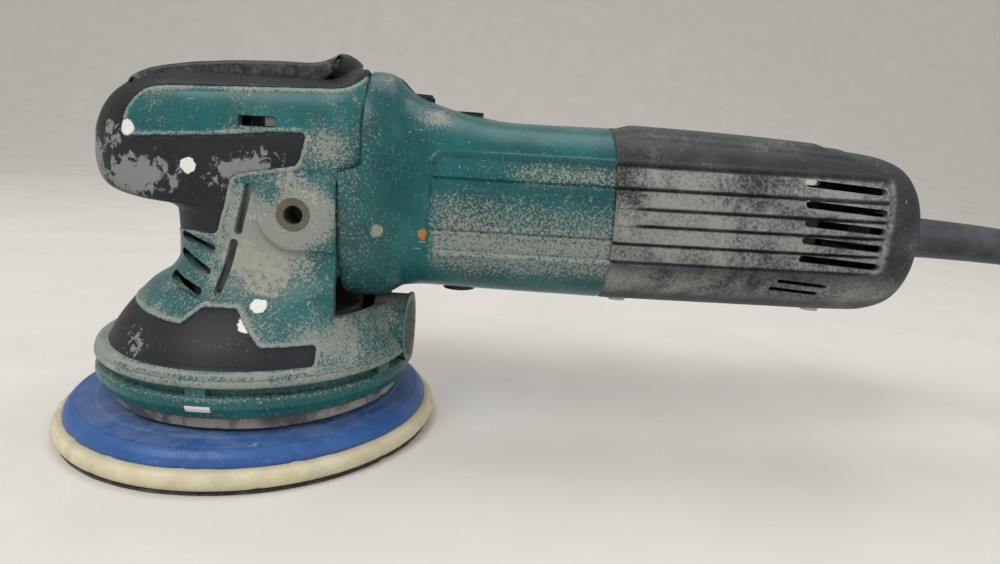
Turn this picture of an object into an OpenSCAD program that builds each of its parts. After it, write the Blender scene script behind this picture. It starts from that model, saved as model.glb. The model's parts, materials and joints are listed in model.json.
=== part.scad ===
// Dual action polisher standing on its pad. Millimetres, +Z up, +X towards the cord.
// The origin is the centre of the pad's face.

/* [Pad] */
// Diameter of the foam pad at its widest
pad_d = 150; // [146:1:152]
// Diameter of the hook face under the pad
hook_d = 147; // [140:1:148]
// Thickness of the hook layer
hook_t = 1.2; // [1:0.1:1.6]
// Height of the foam's top above the pad's face
foam_top = 8.2; // [7.6:0.1:8.6]
// Height of the pad plate's top above the pad's face
plate_top = 15; // [14.8:0.1:15.2]
// Number of dust holes through the pad
dust_holes = 6; // [4:1:8]
// Diameter of the circle of dust holes
dust_hole_pcd = 80; // [78:1:84]

/* [Drive] */
// Diameter of the pad's orbit
orbit_d = 5.5; // [5.5:0.1:5.5]
// Teeth of the gear on the pad shaft
planet_teeth = 35; // [35:1:35]
// Teeth of the ring gear
ring_teeth = 39; // [39:1:39]
// Teeth of the bevel gear on the spindle
bevel_teeth = 37; // [37:1:37]
// Teeth of the bevel pinion on the motor shaft
pinion_teeth = 12; // [12:1:12]
// Module of the bevel pair at its large end
bevel_module = 1.1; // [1.08:0.01:1.12]
// Radial clearance of a shaft in its bearing
run_fit = 0.05; // [0.03:0.01:0.08]

/* [Head] */
// Diameter of the flange over the pad
flange_d = 123; // [122:1:124]
// Thickness of the casing's wall
wall = 2; // [1.8:0.1:2.2]
// Thickness of the rubber on the casing
skin = 2; // [1.8:0.1:2.2]
// Angle that the paddle lever presses through
lever_angle = 4.5; // [3:0.5:4.5]
// Width of the paddle lever
lever_w = 34; // [30:1:35]
// Distance from the middle to the face of a side handle thread
handle_y = 35; // [34.6:0.1:35.4]
// Drilled radius of a side handle's M8 thread
handle_r = 3.4; // [3.3:0.1:3.5]

/* [Motor] */
// Height of the motor's axis above the pad's face
motor_z = 92.5; // [92:0.5:93]
// Where the carbon brushes stand along the motor
brush_x = 84; // [83:0.5:85]
// Seam between the motor housing and the rear cover
seam_x = 140; // [139:0.5:141]
// Rear end of the rear cover
rear_x = 258.5; // [258:0.5:259]

/* [Dust spout] */
// Inner radius of the dust spout
spout_r = 12; // [11.5:0.5:12]
// Wall of the dust spout
spout_wall = 2; // [2:0.2:2.4]
// Height of the dust spout's axis
spout_z = 40; // [40:0.5:41]

/* [Cord] */
// Diameter of the mains cord
cord_d = 8; // [8:0.1:8]
// Turns in each of the coil's two layers
coil_turns = 4; // [4:1:4]
// Radius at the middle of the coil's turns
coil_r = 44; // [44:1:44]

/* [Hidden] */

axis_x = orbit_d / 2;                 // the spindle's axis, beside the pad's
drive_module = orbit_d / (ring_teeth - planet_teeth);
planet_r = planet_teeth * drive_module / 2;
ring_r = ring_teeth * drive_module / 2;
gear_pitch_r = bevel_teeth * bevel_module / 2;
pinion_pitch_r = pinion_teeth * bevel_module / 2;
fine = 96;                            // sides of the large round shapes
ring_n = 36;                          // points around a moulded section
over = 1;                             // how far a cutting shape runs past a face

teal = [0.05, 0.36, 0.36];
black = [0.12, 0.12, 0.13];
steel = [0.68, 0.69, 0.71];
grey = [0.45, 0.43, 0.41];
brass = [0.78, 0.63, 0.32];
copper = [0.72, 0.40, 0.22];

// Heights of the drive, from the pad's face up
gear_lo = 21;
gear_hi = 28;
cup_lo = 30;
cup_hi = 50.5;
cup_r = 22.5;
pad_bearing_r = 17.5;
pad_journal_r = 7.5;
spindle_r = 7.5;
spindle_top_r = 4;
spindle_bearing_r = 16;
top_bearing_r = 11;
lower_bearing_z = 54;
lower_bearing_t = 9;
upper_bearing_z = 101;
upper_bearing_t = 7;

// Head: height, front end, widest place, rear end, half width of each level section,
// and how square its front and its rear are
HEAD = [
    [37, -53.5, 2.7, 63, 60, 2, 2], [44, -49.7, 2.7, 59, 56, 2, 2], [51, -44.5, 2.7, 56, 50, 2, 2.2],
    [58, -38, 3, 57, 42, 2.1, 3], [64, -29.5, 4, 60, 36.5, 2.2, 5], [70, -25.8, 4, 60, 34, 2.3, 7],
    [79, -25.7, 4, 60, 33, 2.3, 7], [87, -26, 2, 60, 32.5, 2.3, 7],
    [89.6, -30, -4, 60, 32, 2.3, 7], [91.2, -42.5, -14, 60, 31.8, 2.3, 7],
    [94, -51.5, -20, 60, 31.5, 2.3, 7], [99, -55.6, -23, 60, 31.2, 2.3, 7],
    [106, -56.8, -24, 60, 31, 2.3, 7], [114, -56.3, -24, 60, 30.6, 2.3, 7],
    [121, -54, -23, 60, 30, 2.3, 7], [127, -50, -22, 60, 28.8, 2.3, 7],
    [132, -44, -20, 60, 26.5, 2.3, 7], [135, -38.5, -18, 60, 24, 2.3, 7],
    [137, -33, -16, 60, 21.5, 2.3, 7]
];
// Motor housing: place, top, bottom, half width and roundness of each upright section
BARREL = [
    [40, 141, 54.6, 33.5, 2.6], [50, 142, 54.6, 33.5, 2.6], [56, 141.5, 56, 33.4, 2.5],
    [63, 136, 59.5, 33.2, 2.4], [72, 131.5, 60.2, 33, 2.4], [82, 129, 60, 33, 2.4],
    [104, 126, 59.5, 33, 2.4], [seam_x, 126.2, 58.9, 33.2, 2.4]
];
// Rear cover, in the same terms
COVER = [
    [seam_x, 126.4, 58.8, 33.4, 2.4], [183, 125.4, 58.8, 33, 2.4], [222, 123.6, 58.8, 32.4, 2.4],
    [243, 122, 59.2, 31.4, 2.4], [252.5, 119.5, 61.5, 29, 2.4], [rear_x - 1.5, 115.5, 65.5, 25.5, 2.3],
    [rear_x, 111.5, 69.5, 22, 2.2]
];
// Side view of the rubber on the head, as x and z
GRIP = [
    [28.6, 117.8], [25.5, 106], [4, 102.4], [1.3, 100], [0, 92], [-3, 80], [-14.5, 80.8], [-40, 77],
    [-70, 77], [-70, 150], [49, 150], [49, 139.5], [45, 135.8], [40, 133.8], [-21, 131.4],
    [-28, 130.3], [-32.5, 126.7], [-35.8, 121.3], [-37, 113], [-6.4, 114.8], [16.7, 117.3]
];
// Side view of the rubber band round the bell, as x and z
BAND = [
    [-70, 38], [36, 38], [36, 44.5], [18, 45], [8, 56], [-4, 56], [-10, 50.5], [-40, 52.5], [-70, 54]
];

// Cord: from the strain relief's end down to the coil's upper layer
coil_at = [398, -56, 0];
LEAD = [
    [314, 0, 87.4], [322, 0, 86.4], [332, 0, 83], [341, 0, 77.6], [348, 0, 70.5], [353, 0, 62],
    [356.6, 0, 52.5], [360, 0, 43], [364.5, 0, 33.5], [370.5, 0, 25], [378, 0, 18.5], [387, 0, 14],
    [398, 0, 12]
];
// From the coil's lower layer along the floor to the plug
TAIL = [
    [398, 0, 4], [410, 0.5, 4], [421, 3, 4], [431, 7, 4], [441, 11, 4], [452, 13.6, 4], [464, 14, 4]
];
// Middle line of the strain relief, from inside the cover to its free end
RELIEF = [[248, 0, 90.3], [262, 0, 90], [276, 0, 89.6], [290, 0, 89], [302, 0, 88.3], [314, 0, 87.4]];
relief_r = [8.8, 7.4];                // at the cover and at the free end

// ---------- shared shapes ----------

// Point at angle a on a rounded outline of half sizes hx and hy
function rounded(a, hx, hy, e) = [
    hx * sign(cos(a)) * pow(abs(cos(a)), 2 / e),
    hy * sign(sin(a)) * pow(abs(sin(a)), 2 / e)
];

// Level section of the head, moved in by t all round
function level_ring(s, t, lift) = [
    for (i = [0 : ring_n - 1])
        let (a = i * 360 / ring_n, rear = cos(a) > 0)
        let (p = rounded(a, (rear ? s[3] - s[2] : s[2] - s[1]) - t, s[4] - t, rear ? s[6] : s[5]))
        [s[2] + p[0], p[1], s[0] + lift]
];

// Upright section of the barrel or the cover, moved in by t all round
function upright_ring(s, t, shift) = [
    for (i = [0 : ring_n - 1])
        let (p = rounded(i * 360 / ring_n, s[3] - t, (s[1] - s[2]) / 2 - t, s[4]))
        [s[0] + shift, p[0], (s[1] + s[2]) / 2 + p[1]]
];

// How far a level section of an inner wall moves, so that floors and roofs keep their thickness
function wall_lift(z, t) = z > 86 && z < 100 ? t : z > 120 ? -t : 0;

// Solid between rings that each hold the same number of points
module skin_over(rings) {
    n = len(rings[0]);
    last = len(rings) - 1;
    polyhedron(
        points = [for (r = rings) each r],
        faces = concat(
            [[for (i = [0 : n - 1]) i]],
            [[for (i = [n - 1 : -1 : 0]) last * n + i]],
            [for (j = [0 : last - 1]) for (i = [0 : n - 1]) each [
                [j * n + i, (j + 1) * n + i, (j + 1) * n + (i + 1) % n],
                [j * n + i, (j + 1) * n + (i + 1) % n, j * n + (i + 1) % n]
            ]]
        )
    );
}

// Ring of k points of radius r about p, square to direction d, turned the same way from up
function tube_ring(p, d, r, k, up) =
    let (t = d / norm(d), side = cross(t, up))
    let (u = side / norm(side), v = cross(u, t))
    [for (i = [0 : k - 1]) p + r * (cos(i * 360 / k) * v + sin(i * 360 / k) * u)];

function path_direction(p, i) = p[min(i + 1, len(p) - 1)] - p[max(i - 1, 0)];

// Round bar of k sides along the points p, with radius r0 at its start and r1 at its end
module swept_bar(p, r0, r1, k, up = [0, 1, 0]) {
    last = len(p) - 1;
    skin_over([for (i = [0 : last])
        tube_ring(p[i], path_direction(p, i), r0 + (r1 - r0) * i / last, k, up)]);
}

// Coil spring round +Z from z0 to z1, of wire radius w
module coil_spring(r, w, z0, z1, turns) {
    steps = turns * 10;
    swept_bar([for (i = [0 : steps])
        [r * cos(i * 36), r * sin(i * 36), z0 + w + (z1 - z0 - 2 * w) * i / steps]], w, w, 6, [0, 0, 1]);
}

// Everything of the side outline, right across the object
module across(outline) {
    rotate([90, 0, 0]) linear_extrude(height = 140, center = true) polygon(outline);
}

// Cylinder along +X from x0 to x1 round the motor's axis
module along_x(x0, x1, r, n = fine) {
    translate([x0, 0, motor_z]) rotate([0, 90, 0]) cylinder(h = x1 - x0, r = r, $fn = n);
}

// Tube along +X round the motor's axis
module tube_x(x0, x1, r_out, r_in, n = fine) {
    difference() {
        along_x(x0, x1, r_out, n);
        along_x(x0 - over, x1 + over, r_in, n);
    }
}

// Cylinder along +Z round the line at x
module upright(x, z0, z1, r, n = fine) {
    translate([x, 0, z0]) cylinder(h = z1 - z0, r = r, $fn = n);
}

// Ball bearing: two races joined by shields, with its middle at x
module bearing(x, z0, t, r_out, r_in) {
    groove = (r_out - r_in) * 0.3;
    translate([x, 0, z0]) rotate_extrude($fn = fine) polygon([
        [r_in, 0], [r_in + groove, 0], [r_in + groove, 0.5], [r_out - groove, 0.5], [r_out - groove, 0],
        [r_out, 0], [r_out, t], [r_out - groove, t], [r_out - groove, t - 0.5], [r_in + groove, t - 0.5],
        [r_in + groove, t], [r_in, t]
    ]);
}

// Bearing round the motor's axis
module motor_bearing(x0, t, r_out, r_in) {
    translate([x0, 0, motor_z]) rotate([0, 90, 0]) bearing(0, 0, t, r_out, r_in);
}

// Outline of n straight-flanked teeth; widths are across a tooth at its root and at its tip
function toothed(n, r_root, r_tip, w_root, w_tip, turn) = [
    for (i = [0 : n - 1])
        for (k = [[r_root, -w_root / r_root], [r_tip, -w_tip / r_tip],
                  [r_tip, w_tip / r_tip], [r_root, w_root / r_root]])
            let (a = turn + 360 * i / n + k[1] * 90 / PI)
            [k[0] * cos(a), k[0] * sin(a)]
];

// Bevel gear with its apex at the origin and its back towards +Z
bevel_len = norm([gear_pitch_r, pinion_pitch_r]);
bevel_cut = 0.7;                      // small end, as a share of the large end
bevel_add = 0.8 * bevel_module;
bevel_ded = 1.1 * bevel_module;
function on_cone(pitch_r, along, out) =
    let (s = pitch_r / bevel_len, c = sqrt(1 - s * s))
    [along * s + out * c, along * c - out * s];
module bevel_tooth(pitch_r) {
    low = on_cone(pitch_r, bevel_len, -bevel_ded - 0.3);
    high = on_cone(pitch_r, bevel_len, bevel_add);
    w = [1.12 * bevel_module, 0.34 * bevel_module];
    ends = [[low, w[0]], [low, -w[0]], [high, -w[1]], [high, w[1]]];
    skin_over([for (k = [bevel_cut, 1])
        [for (e = ends) [k * e[0][0], k * e[1], k * e[0][1]]]]);
}
module bevel_wheel(pitch_r, n, bore_r, bore_from, hub_r, hub_end, turn) {
    rim = on_cone(pitch_r, bevel_len, -bevel_ded);
    difference() {
        union() {
            rotate_extrude($fn = fine) polygon([
                [0, bevel_cut * rim[1]], bevel_cut * rim, rim, [rim[0], rim[1] + 1.5],
                [hub_r, rim[1] + 1.5], [hub_r, hub_end], [0, hub_end]
            ]);
            for (i = [0 : n - 1]) rotate([0, 0, turn + 360 * i / n]) bevel_tooth(pitch_r);
        }
        translate([0, 0, bore_from]) cylinder(h = hub_end + 3, r = bore_r, $fn = fine);
    }
}

// Round holes for the dust, through everything between two heights
module dust_hole_set(z0, z1) {
    for (i = [0 : dust_holes - 1])
        rotate([0, 0, 30 + 360 * i / dust_holes])
            translate([dust_hole_pcd / 2, 0, z0]) cylinder(h = z1 - z0, r = 5, $fn = 32);
}

// Pan-headed screw along +Z with its head at the top, from the origin down
module screw(shank_r, len, head_r, head_t) {
    difference() {
        union() {
            cylinder(h = head_t, r = head_r, $fn = 32);
            translate([0, 0, -len]) cylinder(h = len + 0.1, r = shank_r, $fn = 24);
        }
        for (a = [0, 90])
            rotate([0, 0, a]) translate([-head_r * 0.5, -0.5, head_t - 1.2]) cube([head_r, 1, 2]);
    }
}

// ---------- pad ----------

bolt_access_r = 11;

module hook_layer() {
    color(black) difference() {
        cylinder(h = hook_t, r = hook_d / 2, $fn = fine);
        dust_hole_set(-over, hook_t + over);
        translate([0, 0, -over]) cylinder(h = hook_t + 2 * over, r = bolt_access_r, $fn = fine);
    }
}

module pad_foam() {
    edge = pad_d / 2;
    bulge = [for (i = [0 : 8]) let (a = -90 + i * 22.5)
        [edge - 3.4 + 3.4 * cos(a), (foam_top + hook_t) / 2 + (foam_top - hook_t) / 2 * sin(a)]];
    color([0.86, 0.82, 0.71]) difference() {
        rotate_extrude($fn = fine) polygon(concat([[bolt_access_r, hook_t]], bulge,
            [[bolt_access_r, foam_top]]));
        dust_hole_set(0, foam_top + over);
    }
}

module pad_plate() {
    color([0.10, 0.27, 0.68]) difference() {
        rotate_extrude($fn = fine) polygon([
            [bolt_access_r, foam_top], [pad_d / 2 - 4, foam_top], [pad_d / 2 - 4.4, foam_top + 1.4],
            [pad_d / 2 - 7, 13.2], [pad_d / 2 - 8, 13.8], [60, 14], [59, 14.5], [36, plate_top],
            [18, plate_top], [16, 19], [4.2, 19], [4.2, 12.5], [bolt_access_r, 12.5]
        ]);
        dust_hole_set(0, 20);
    }
}

module pad_bolt() {
    color(steel) difference() {
        union() {
            translate([0, 0, 11.5]) cylinder(h = 1, r = 9, $fn = fine);
            translate([0, 0, 4.5]) cylinder(h = 7, r = 6.5, $fn = 6);
            translate([0, 0, 12.4]) cylinder(h = 20, r = 4, $fn = 48);
        }
        translate([0, 0, 4.4]) cylinder(h = 3.6, r = 3.2, $fn = 6);
    }
}

// Gear and journal in one piece, turning on the pad's axis
module pad_shaft() {
    color(steel) difference() {
        union() {
            translate([0, 0, 19]) cylinder(h = 2, r = 15, $fn = fine);
            translate([0, 0, gear_lo]) linear_extrude(height = gear_hi - gear_lo)
                polygon(toothed(planet_teeth, planet_r - 0.95, planet_r + 0.82, 2.4, 1.1, 180));
            translate([0, 0, gear_hi]) cylinder(h = 2, r = 10, $fn = fine);
            translate([0, 0, gear_hi]) cylinder(h = 20, r = pad_journal_r, $fn = fine);
        }
        translate([0, 0, 18]) cylinder(h = 15, r = 4, $fn = 48);
    }
}

// ---------- ring gear, shroud and skirt ----------

ring_outer_r = 34;
shroud_z = 29.2;
spout_x = [50, 65];                   // inner end and mouth
spout_full_x = 57.5;                  // from here out the spout is a whole circle
spout_cut_z = 36.8;                   // lower edge of its inner end
spout_hole_r = spout_r + spout_wall + 0.9;

module ring_gear() {
    color(steel) translate([axis_x, 0, gear_lo]) difference() {
        union() {
            cylinder(h = gear_hi - gear_lo, r = ring_outer_r, $fn = fine);
            translate([0, 0, gear_hi - gear_lo - 2]) cylinder(h = 2, r = ring_outer_r + 5, $fn = fine);
        }
        translate([0, 0, -over]) linear_extrude(height = gear_hi - gear_lo + 2 * over)
            polygon(toothed(ring_teeth, ring_r - 0.75, ring_r + 1.2, 2.9, 1.6, 180));
        translate([ring_outer_r + 2.5, 0, 3]) cylinder(h = 6, r = 1.6, $fn = 24);
    }
}

// Plate that carries the ring gear inside the skirt, open between its spokes
module shroud_plate() {
    color(grey) translate([axis_x, 0, 0]) difference() {
        union() {
            translate([0, 0, shroud_z - 1.1]) cylinder(h = 2, r = 54, $fn = fine);
            translate([0, 0, gear_lo + 1]) cylinder(h = 7, r = ring_outer_r + 7.5, $fn = fine);
        }
        translate([0, 0, gear_lo]) cylinder(h = 12, r = ring_outer_r, $fn = fine);
        translate([0, 0, gear_hi - 2]) cylinder(h = 2.1, r = ring_outer_r + 5, $fn = fine);
        for (i = [0 : 5]) rotate([0, 0, 60 * i + 30]) translate([47.8, 0, 20])
            cylinder(h = 20, r = 5.2, $fn = 32);
        translate([ring_outer_r + 2.5, 0, gear_lo]) cylinder(h = 12, r = 1.55, $fn = 24);
    }
}

// Ring under the head's flange, with ribs round its groove
module skirt_ring() {
    r = flange_d / 2;
    color(teal) difference() {
        translate([axis_x, 0, 0]) union() {
            rotate_extrude($fn = fine) polygon([
                [54, 20], [57, 20], [60, 22], [r, 25], [r, 28], [r - 1, 29.2], [r - 4, 29.2],
                [r - 4, 32], [55, 32], [55, 27.8], [54, 27.8]
            ]);
            for (i = [0 : 23]) rotate([0, 0, 15 * i + 7.5])
                translate([r - 4.2, -0.8, 29]) cube([2.6, 1.6, 3]);
        }
        // Notch under the spout
        translate([45, 0, spout_z]) rotate([0, 90, 0])
            cylinder(h = 30, r = spout_hole_r, $fn = fine);
    }
}

module dust_seal() {
    color(grey) translate([axis_x, 0, 0]) rotate_extrude($fn = fine) polygon([
        [50, 16.2], [50.6, 15.7], [56, 15.7], [56.6, 16.2], [56.8, 20], [53.9, 20], [53.9, 24],
        [51.5, 24], [51.5, 20], [50, 18.5]
    ]);
}

// Round spout with a lip; its inner end is wider inside and is cut away over the flange
module dust_spout() {
    r = spout_r + spout_wall;
    color(teal) translate([0, 0, spout_z]) rotate([0, 90, 0]) difference() {
        union() {
            translate([0, 0, spout_x[0]]) cylinder(h = spout_x[1] - spout_x[0], r = r, $fn = fine);
            translate([0, 0, spout_x[1] - 1.6]) cylinder(h = 1.6, r = r + 0.8, $fn = fine);
        }
        translate([0, 0, spout_x[0] - over]) cylinder(h = 20, r = spout_r, $fn = fine);
        translate([0, 0, spout_x[0] - over])
            cylinder(h = spout_full_x - spout_x[0] + over, r = spout_r + spout_wall / 3, $fn = fine);
        translate([spout_z - spout_cut_z, -30, 40]) cube([20, 60, spout_full_x - 40]);
    }
}

// ---------- spindle ----------

module eccentric_spindle() {
    color(steel) difference() {
        union() {
            upright(axis_x, cup_lo, cup_hi, cup_r);
            upright(axis_x, cup_hi - 0.1, 53, 12);
            upright(axis_x, 52.9, 87, spindle_r - run_fit);
            upright(axis_x, 86.9, upper_bearing_z + upper_bearing_t, spindle_top_r - run_fit);
        }
        upright(0, cup_lo - over, 48, pad_bearing_r);
        upright(0, 47.9, 49, 12);
    }
}

module counterweight() {
    color(steel) translate([axis_x, 0, 31]) difference() {
        intersection() {
            cylinder(h = 8, r = 34, $fn = fine);
            linear_extrude(height = 8) polygon([[0, 0], [60, -66], [60, 66]]);
        }
        translate([0, 0, -over]) cylinder(h = 10, r = cup_r, $fn = fine);
    }
}

module dust_fan() {
    color(black) translate([axis_x, 0, 0]) difference() {
        union() {
            translate([0, 0, 48.5]) cylinder(h = 2, r = 41, $fn = fine);
            translate([0, 0, 40]) cylinder(h = 9, r = 25.5, $fn = fine);
            for (i = [0 : 8]) rotate([0, 0, 40 * i]) translate([24.8, 3, 41]) rotate([0, 0, 20])
                cube([16, 1.6, 8]);
        }
        translate([0, 0, 39]) cylinder(h = 12, r = cup_r, $fn = fine);
    }
}

module bevel_gear() {
    color(steel) translate([axis_x, 0, motor_z]) mirror([0, 0, 1])
        bevel_wheel(gear_pitch_r, bevel_teeth, spindle_r - run_fit, -over, 12, 15.5, 0);
}

module pad_bearing_lower() {
    color(steel) bearing(0, 30.6, 8.4, pad_bearing_r, pad_journal_r + run_fit);
}

module pad_bearing_upper() {
    color(steel) bearing(0, 39.4, 8.4, pad_bearing_r, pad_journal_r + run_fit);
}

module spindle_bearing_lower() {
    color(steel) bearing(axis_x, lower_bearing_z, lower_bearing_t, spindle_bearing_r, spindle_r);
}

module spindle_bearing_upper() {
    color(steel) bearing(axis_x, upper_bearing_z, upper_bearing_t, top_bearing_r, spindle_top_r);
}

// ---------- head ----------

housing_r = 24.2;
gear_room_r = 22.4;
plate_x = [40.8, 44.8];
boss_yz = [[-18, -25], [18, -25], [-18, 25], [18, 25]];
handle_x = 25;
handle_z = 89;

module gear_housing() {
    color([0.74, 0.75, 0.76]) difference() {
        union() {
            upright(axis_x, 53.4, 110.5, housing_r);
            along_x(axis_x, plate_x[1], 23);
            intersection() {
                translate([plate_x[0], -23, motor_z - 31]) cube([plate_x[1] - plate_x[0], 46, 59]);
                along_x(plate_x[0] - over, plate_x[1] + over, 33.4);
            }
            for (p = boss_yz) translate([31, p[0], motor_z + p[1]]) rotate([0, 90, 0])
                cylinder(h = 10, r = 4.2, $fn = 32);
            translate([handle_x, 0, handle_z]) rotate([90, 0, 0])
                cylinder(h = 2 * handle_y - 1, r = 9.5, center = true, $fn = fine);
            // Neck between the lower bearing and the front wall
            upright(axis_x, 53.4, 58, 27);
        }
        upright(axis_x, 53, lower_bearing_z + lower_bearing_t, spindle_bearing_r);
        upright(axis_x, 62, 74, 12.6);
        upright(axis_x, 73.9, 99, gear_room_r);
        upright(axis_x, 98.9, upper_bearing_z, 7);
        upright(axis_x, upper_bearing_z, upper_bearing_z + upper_bearing_t, top_bearing_r);
        along_x(axis_x, 31.2, 9.5);
        along_x(31, 60, 14);
        for (p = boss_yz) translate([33, p[0], motor_z + p[1]]) rotate([0, 90, 0])
            cylinder(h = 20, r = 2.5, $fn = 24);
        for (s = [-1, 1]) translate([handle_x, s * (handle_y - 15), handle_z]) rotate([-s * 90, 0, 0])
            cylinder(h = 20, r = 6, $fn = 48);
    }
}

// Threaded sleeves for a side handle, one each side
module handle_inserts() {
    color(brass) for (s = [-1, 1])
        translate([handle_x, s * (handle_y - 15), handle_z]) rotate([-s * 90, 0, 0]) difference() {
            cylinder(h = 15, r = 6, $fn = 48);
            translate([0, 0, 1]) cylinder(h = 15, r = handle_r, $fn = 48);
        }
}

module head_solid(t) {
    skin_over([for (s = HEAD) level_ring(s, t, wall_lift(s[0], t))]);
}

// Side outline of what belongs to the head, not to the motor housing
head_side = [[-80, 36], [90, 36], [90, 52], [39.7, 52], [39.7, 105], [48.2, 108], [48.2, 160], [-80, 160]];

lever_pivot = [-35, 131.5];
lever_hole_r = 2;
module lever_pin_line(r) {
    translate([lever_pivot[0], 0, lever_pivot[1]]) rotate([90, 0, 0])
        cylinder(h = 38, r = r, center = true, $fn = 48);
}

lever_pocket_w = lever_w + 1.2;
module lever_pocket() {
    translate([-39.3, -lever_pocket_w / 2, 127]) cube([105, lever_pocket_w, 30]);
}

module head_vents() {
    for (v = [[-11, 75.5], [-12, 68.6], [-14, 61.6]])
        translate([v[0], -50, v[1]]) rotate([0, 14, 0]) cube([12, 100, 3.4], center = false);
    for (v = [[6.4, 90, 16], [1.2, 69, 15]])
        translate([v[0], 0, v[1]]) rotate([0, 14, 0]) cube([3.2, 100, v[2]], center = true);
}

module head_casing() {
    inner = wall + skin;
    color(teal) difference() {
        union() {
            intersection() {
                head_solid(0);
                across(head_side);
            }
            translate([axis_x, 0, 32.2]) cylinder(h = 5, r = flange_d / 2, $fn = fine);
        }
        skin_over([for (s = HEAD) level_ring(s, inner, s[0] < 40 ? 0 : wall_lift(s[0], inner))]);
        translate([axis_x, 0, 32]) cylinder(h = 6, r = 54.8, $fn = fine);
        // Beds for the rubber
        difference() {
            union() {
                across(GRIP);
                across(BAND);
            }
            head_solid(skin);
        }
        lever_pocket();
        lever_pin_line(lever_hole_r);
        // Openings for the handle bosses, the lock slider, the vents and the spout
        translate([handle_x, 0, handle_z]) rotate([90, 0, 0])
            cylinder(h = 90, r = 9.7, center = true, $fn = fine);
        translate([4, -45, 119]) cube([13.5, 90, 3.6]);
        head_vents();
        translate([30, 0, spout_z]) rotate([0, 90, 0])
            cylinder(h = 50, r = spout_hole_r, $fn = fine);
    }
}

module front_grip() {
    gap = skin - 0.05;
    color(black) difference() {
        intersection() {
            head_solid(0);
            across(GRIP);
            across(head_side);
        }
        head_solid(gap);
        lever_pocket();
        head_vents();
        lever_pin_line(lever_hole_r);
    }
}

module lower_band() {
    gap = skin - 0.05;
    color(black) difference() {
        intersection() {
            head_solid(0);
            across(BAND);
        }
        head_solid(gap);
        translate([30, 0, spout_z]) rotate([0, 90, 0]) cylinder(h = 50, r = 16, $fn = fine);
    }
}

// ---------- lever, switch and slider ----------

module paddle_lever() {
    color(black) difference() {
        rotate([90, 0, 0]) linear_extrude(height = lever_w, center = true) polygon([
            [-38.4, 132.6], [-37, 135.2], [-31.6, 137.9], [-26.5, 139.3], [-15, 141.3], [0, 142.7],
            [16, 143.4], [28, 143.4], [33.5, 144.6], [38.6, 147.6], [39.6, 146.6], [37, 142.4],
            [32, 138.6], [24, 137.4], [0, 136.4], [-24.5, 134.8], [-30.8, 134.2], [-32, 130.2],
            [-35, 128.6], [-37.8, 130.2]
        ]);
        lever_pin_line(lever_hole_r + run_fit);
    }
}

module lever_pin() {
    color(steel) lever_pin_line(lever_hole_r);
}

spring_x = 20;
module lever_spring() {
    color(steel) translate([spring_x, 0, 0]) coil_spring(4, 0.6, 127.3, 136.6, 5);
}

plunger_x = -13;
module switch_body() {
    color([0.16, 0.16, 0.17]) difference() {
        union() {
            translate([-30, -10, 112]) cube([32, 20, 11]);
            translate([-22, -7, 122.9]) cube([18, 14, 2.5]);
        }
        translate([plunger_x - 1.9, -1.9, 121]) cube([3.8, 3.8, 6]);
    }
}

module switch_plunger() {
    color([0.8, 0.2, 0.15]) translate([plunger_x, 0, 0]) {
        translate([-3, -3, 129]) cube([6, 6, 4.4]);
        translate([-2, -2, 133.3]) cube([4, 4, 1.6]);
        translate([-1.5, -1.5, 125.8]) cube([3, 3, 3.3]);
    }
}

module lock_slider() {
    color([0.75, 0.74, 0.7]) translate([13.8, -29, 119.3]) cube([3.4, 58, 3]);
}

// ---------- mode knob ----------

knob_x = 62;
knob_floor = 128.3;                   // bottom of the round recess that it sits in
module mode_knob() {
    color(black) translate([knob_x, 0, 0]) difference() {
        union() {
            translate([0, 0, knob_floor + 0.3]) cylinder(h = 6, r = 8.4, $fn = fine);
            translate([0, 0, knob_floor - 7]) cylinder(h = 7.4, r = 4, $fn = 48);
            for (i = [0 : 11]) rotate([0, 0, 30 * i]) translate([8.2, -0.6, knob_floor + 1.3])
                cube([0.9, 1.2, 4]);
        }
        translate([-7.5, -0.8, knob_floor + 5.5]) cube([9, 1.6, 2]);
    }
}

module ring_lock_pin() {
    color(steel) translate([axis_x + ring_outer_r + 2.5, 0, 24.8]) cylinder(h = 8, r = 1.5, $fn = 24);
}

// ---------- motor ----------

core_x = [100, 138];
slot_count = 12;

module bevel_pinion() {
    color(steel) translate([axis_x, 0, motor_z]) rotate([0, 90, 0])
        bevel_wheel(pinion_pitch_r, pinion_teeth, 3.5, 19.5, 6.4, 28.2, 15);
}

module armature_shaft() {
    color(steel) union() {
        along_x(axis_x + 19.5, 31.6, 3.5);
        along_x(31.5, core_x[1] + 4, 6 - run_fit);
        along_x(core_x[1] + 3.9, 157, 4 - run_fit);
    }
}

module armature_slots(x0, x1, w, r0, r1) {
    for (i = [0 : slot_count - 1]) translate([x0, 0, motor_z]) rotate([360 * i / slot_count, 0, 0])
        translate([0, -w / 2, r0]) cube([x1 - x0, w, r1 - r0]);
}

module armature_core() {
    color(steel) difference() {
        tube_x(core_x[0], core_x[1], 19, 6 - run_fit);
        armature_slots(core_x[0] - over, core_x[1] + over, 3.4, 10, 20);
    }
}

module armature_windings() {
    color(copper) {
        tube_x(core_x[0] - 5, core_x[0] - 0.1, 17, 6.6);
        tube_x(core_x[1] + 0.1, core_x[1] + 5, 17, 6.6);
        armature_slots(core_x[0] - 0.5, core_x[1] + 0.5, 3, 10.4, 18);
    }
}

module commutator() {
    color(copper) difference() {
        tube_x(brush_x - 9, brush_x + 9, 12.5, 6 - run_fit);
        for (i = [0 : 23]) translate([brush_x - 10, 0, motor_z]) rotate([15 * i + 7.5, 0, 0])
            translate([0, -0.25, 11.5]) cube([20, 0.5, 2]);
    }
}

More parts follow.
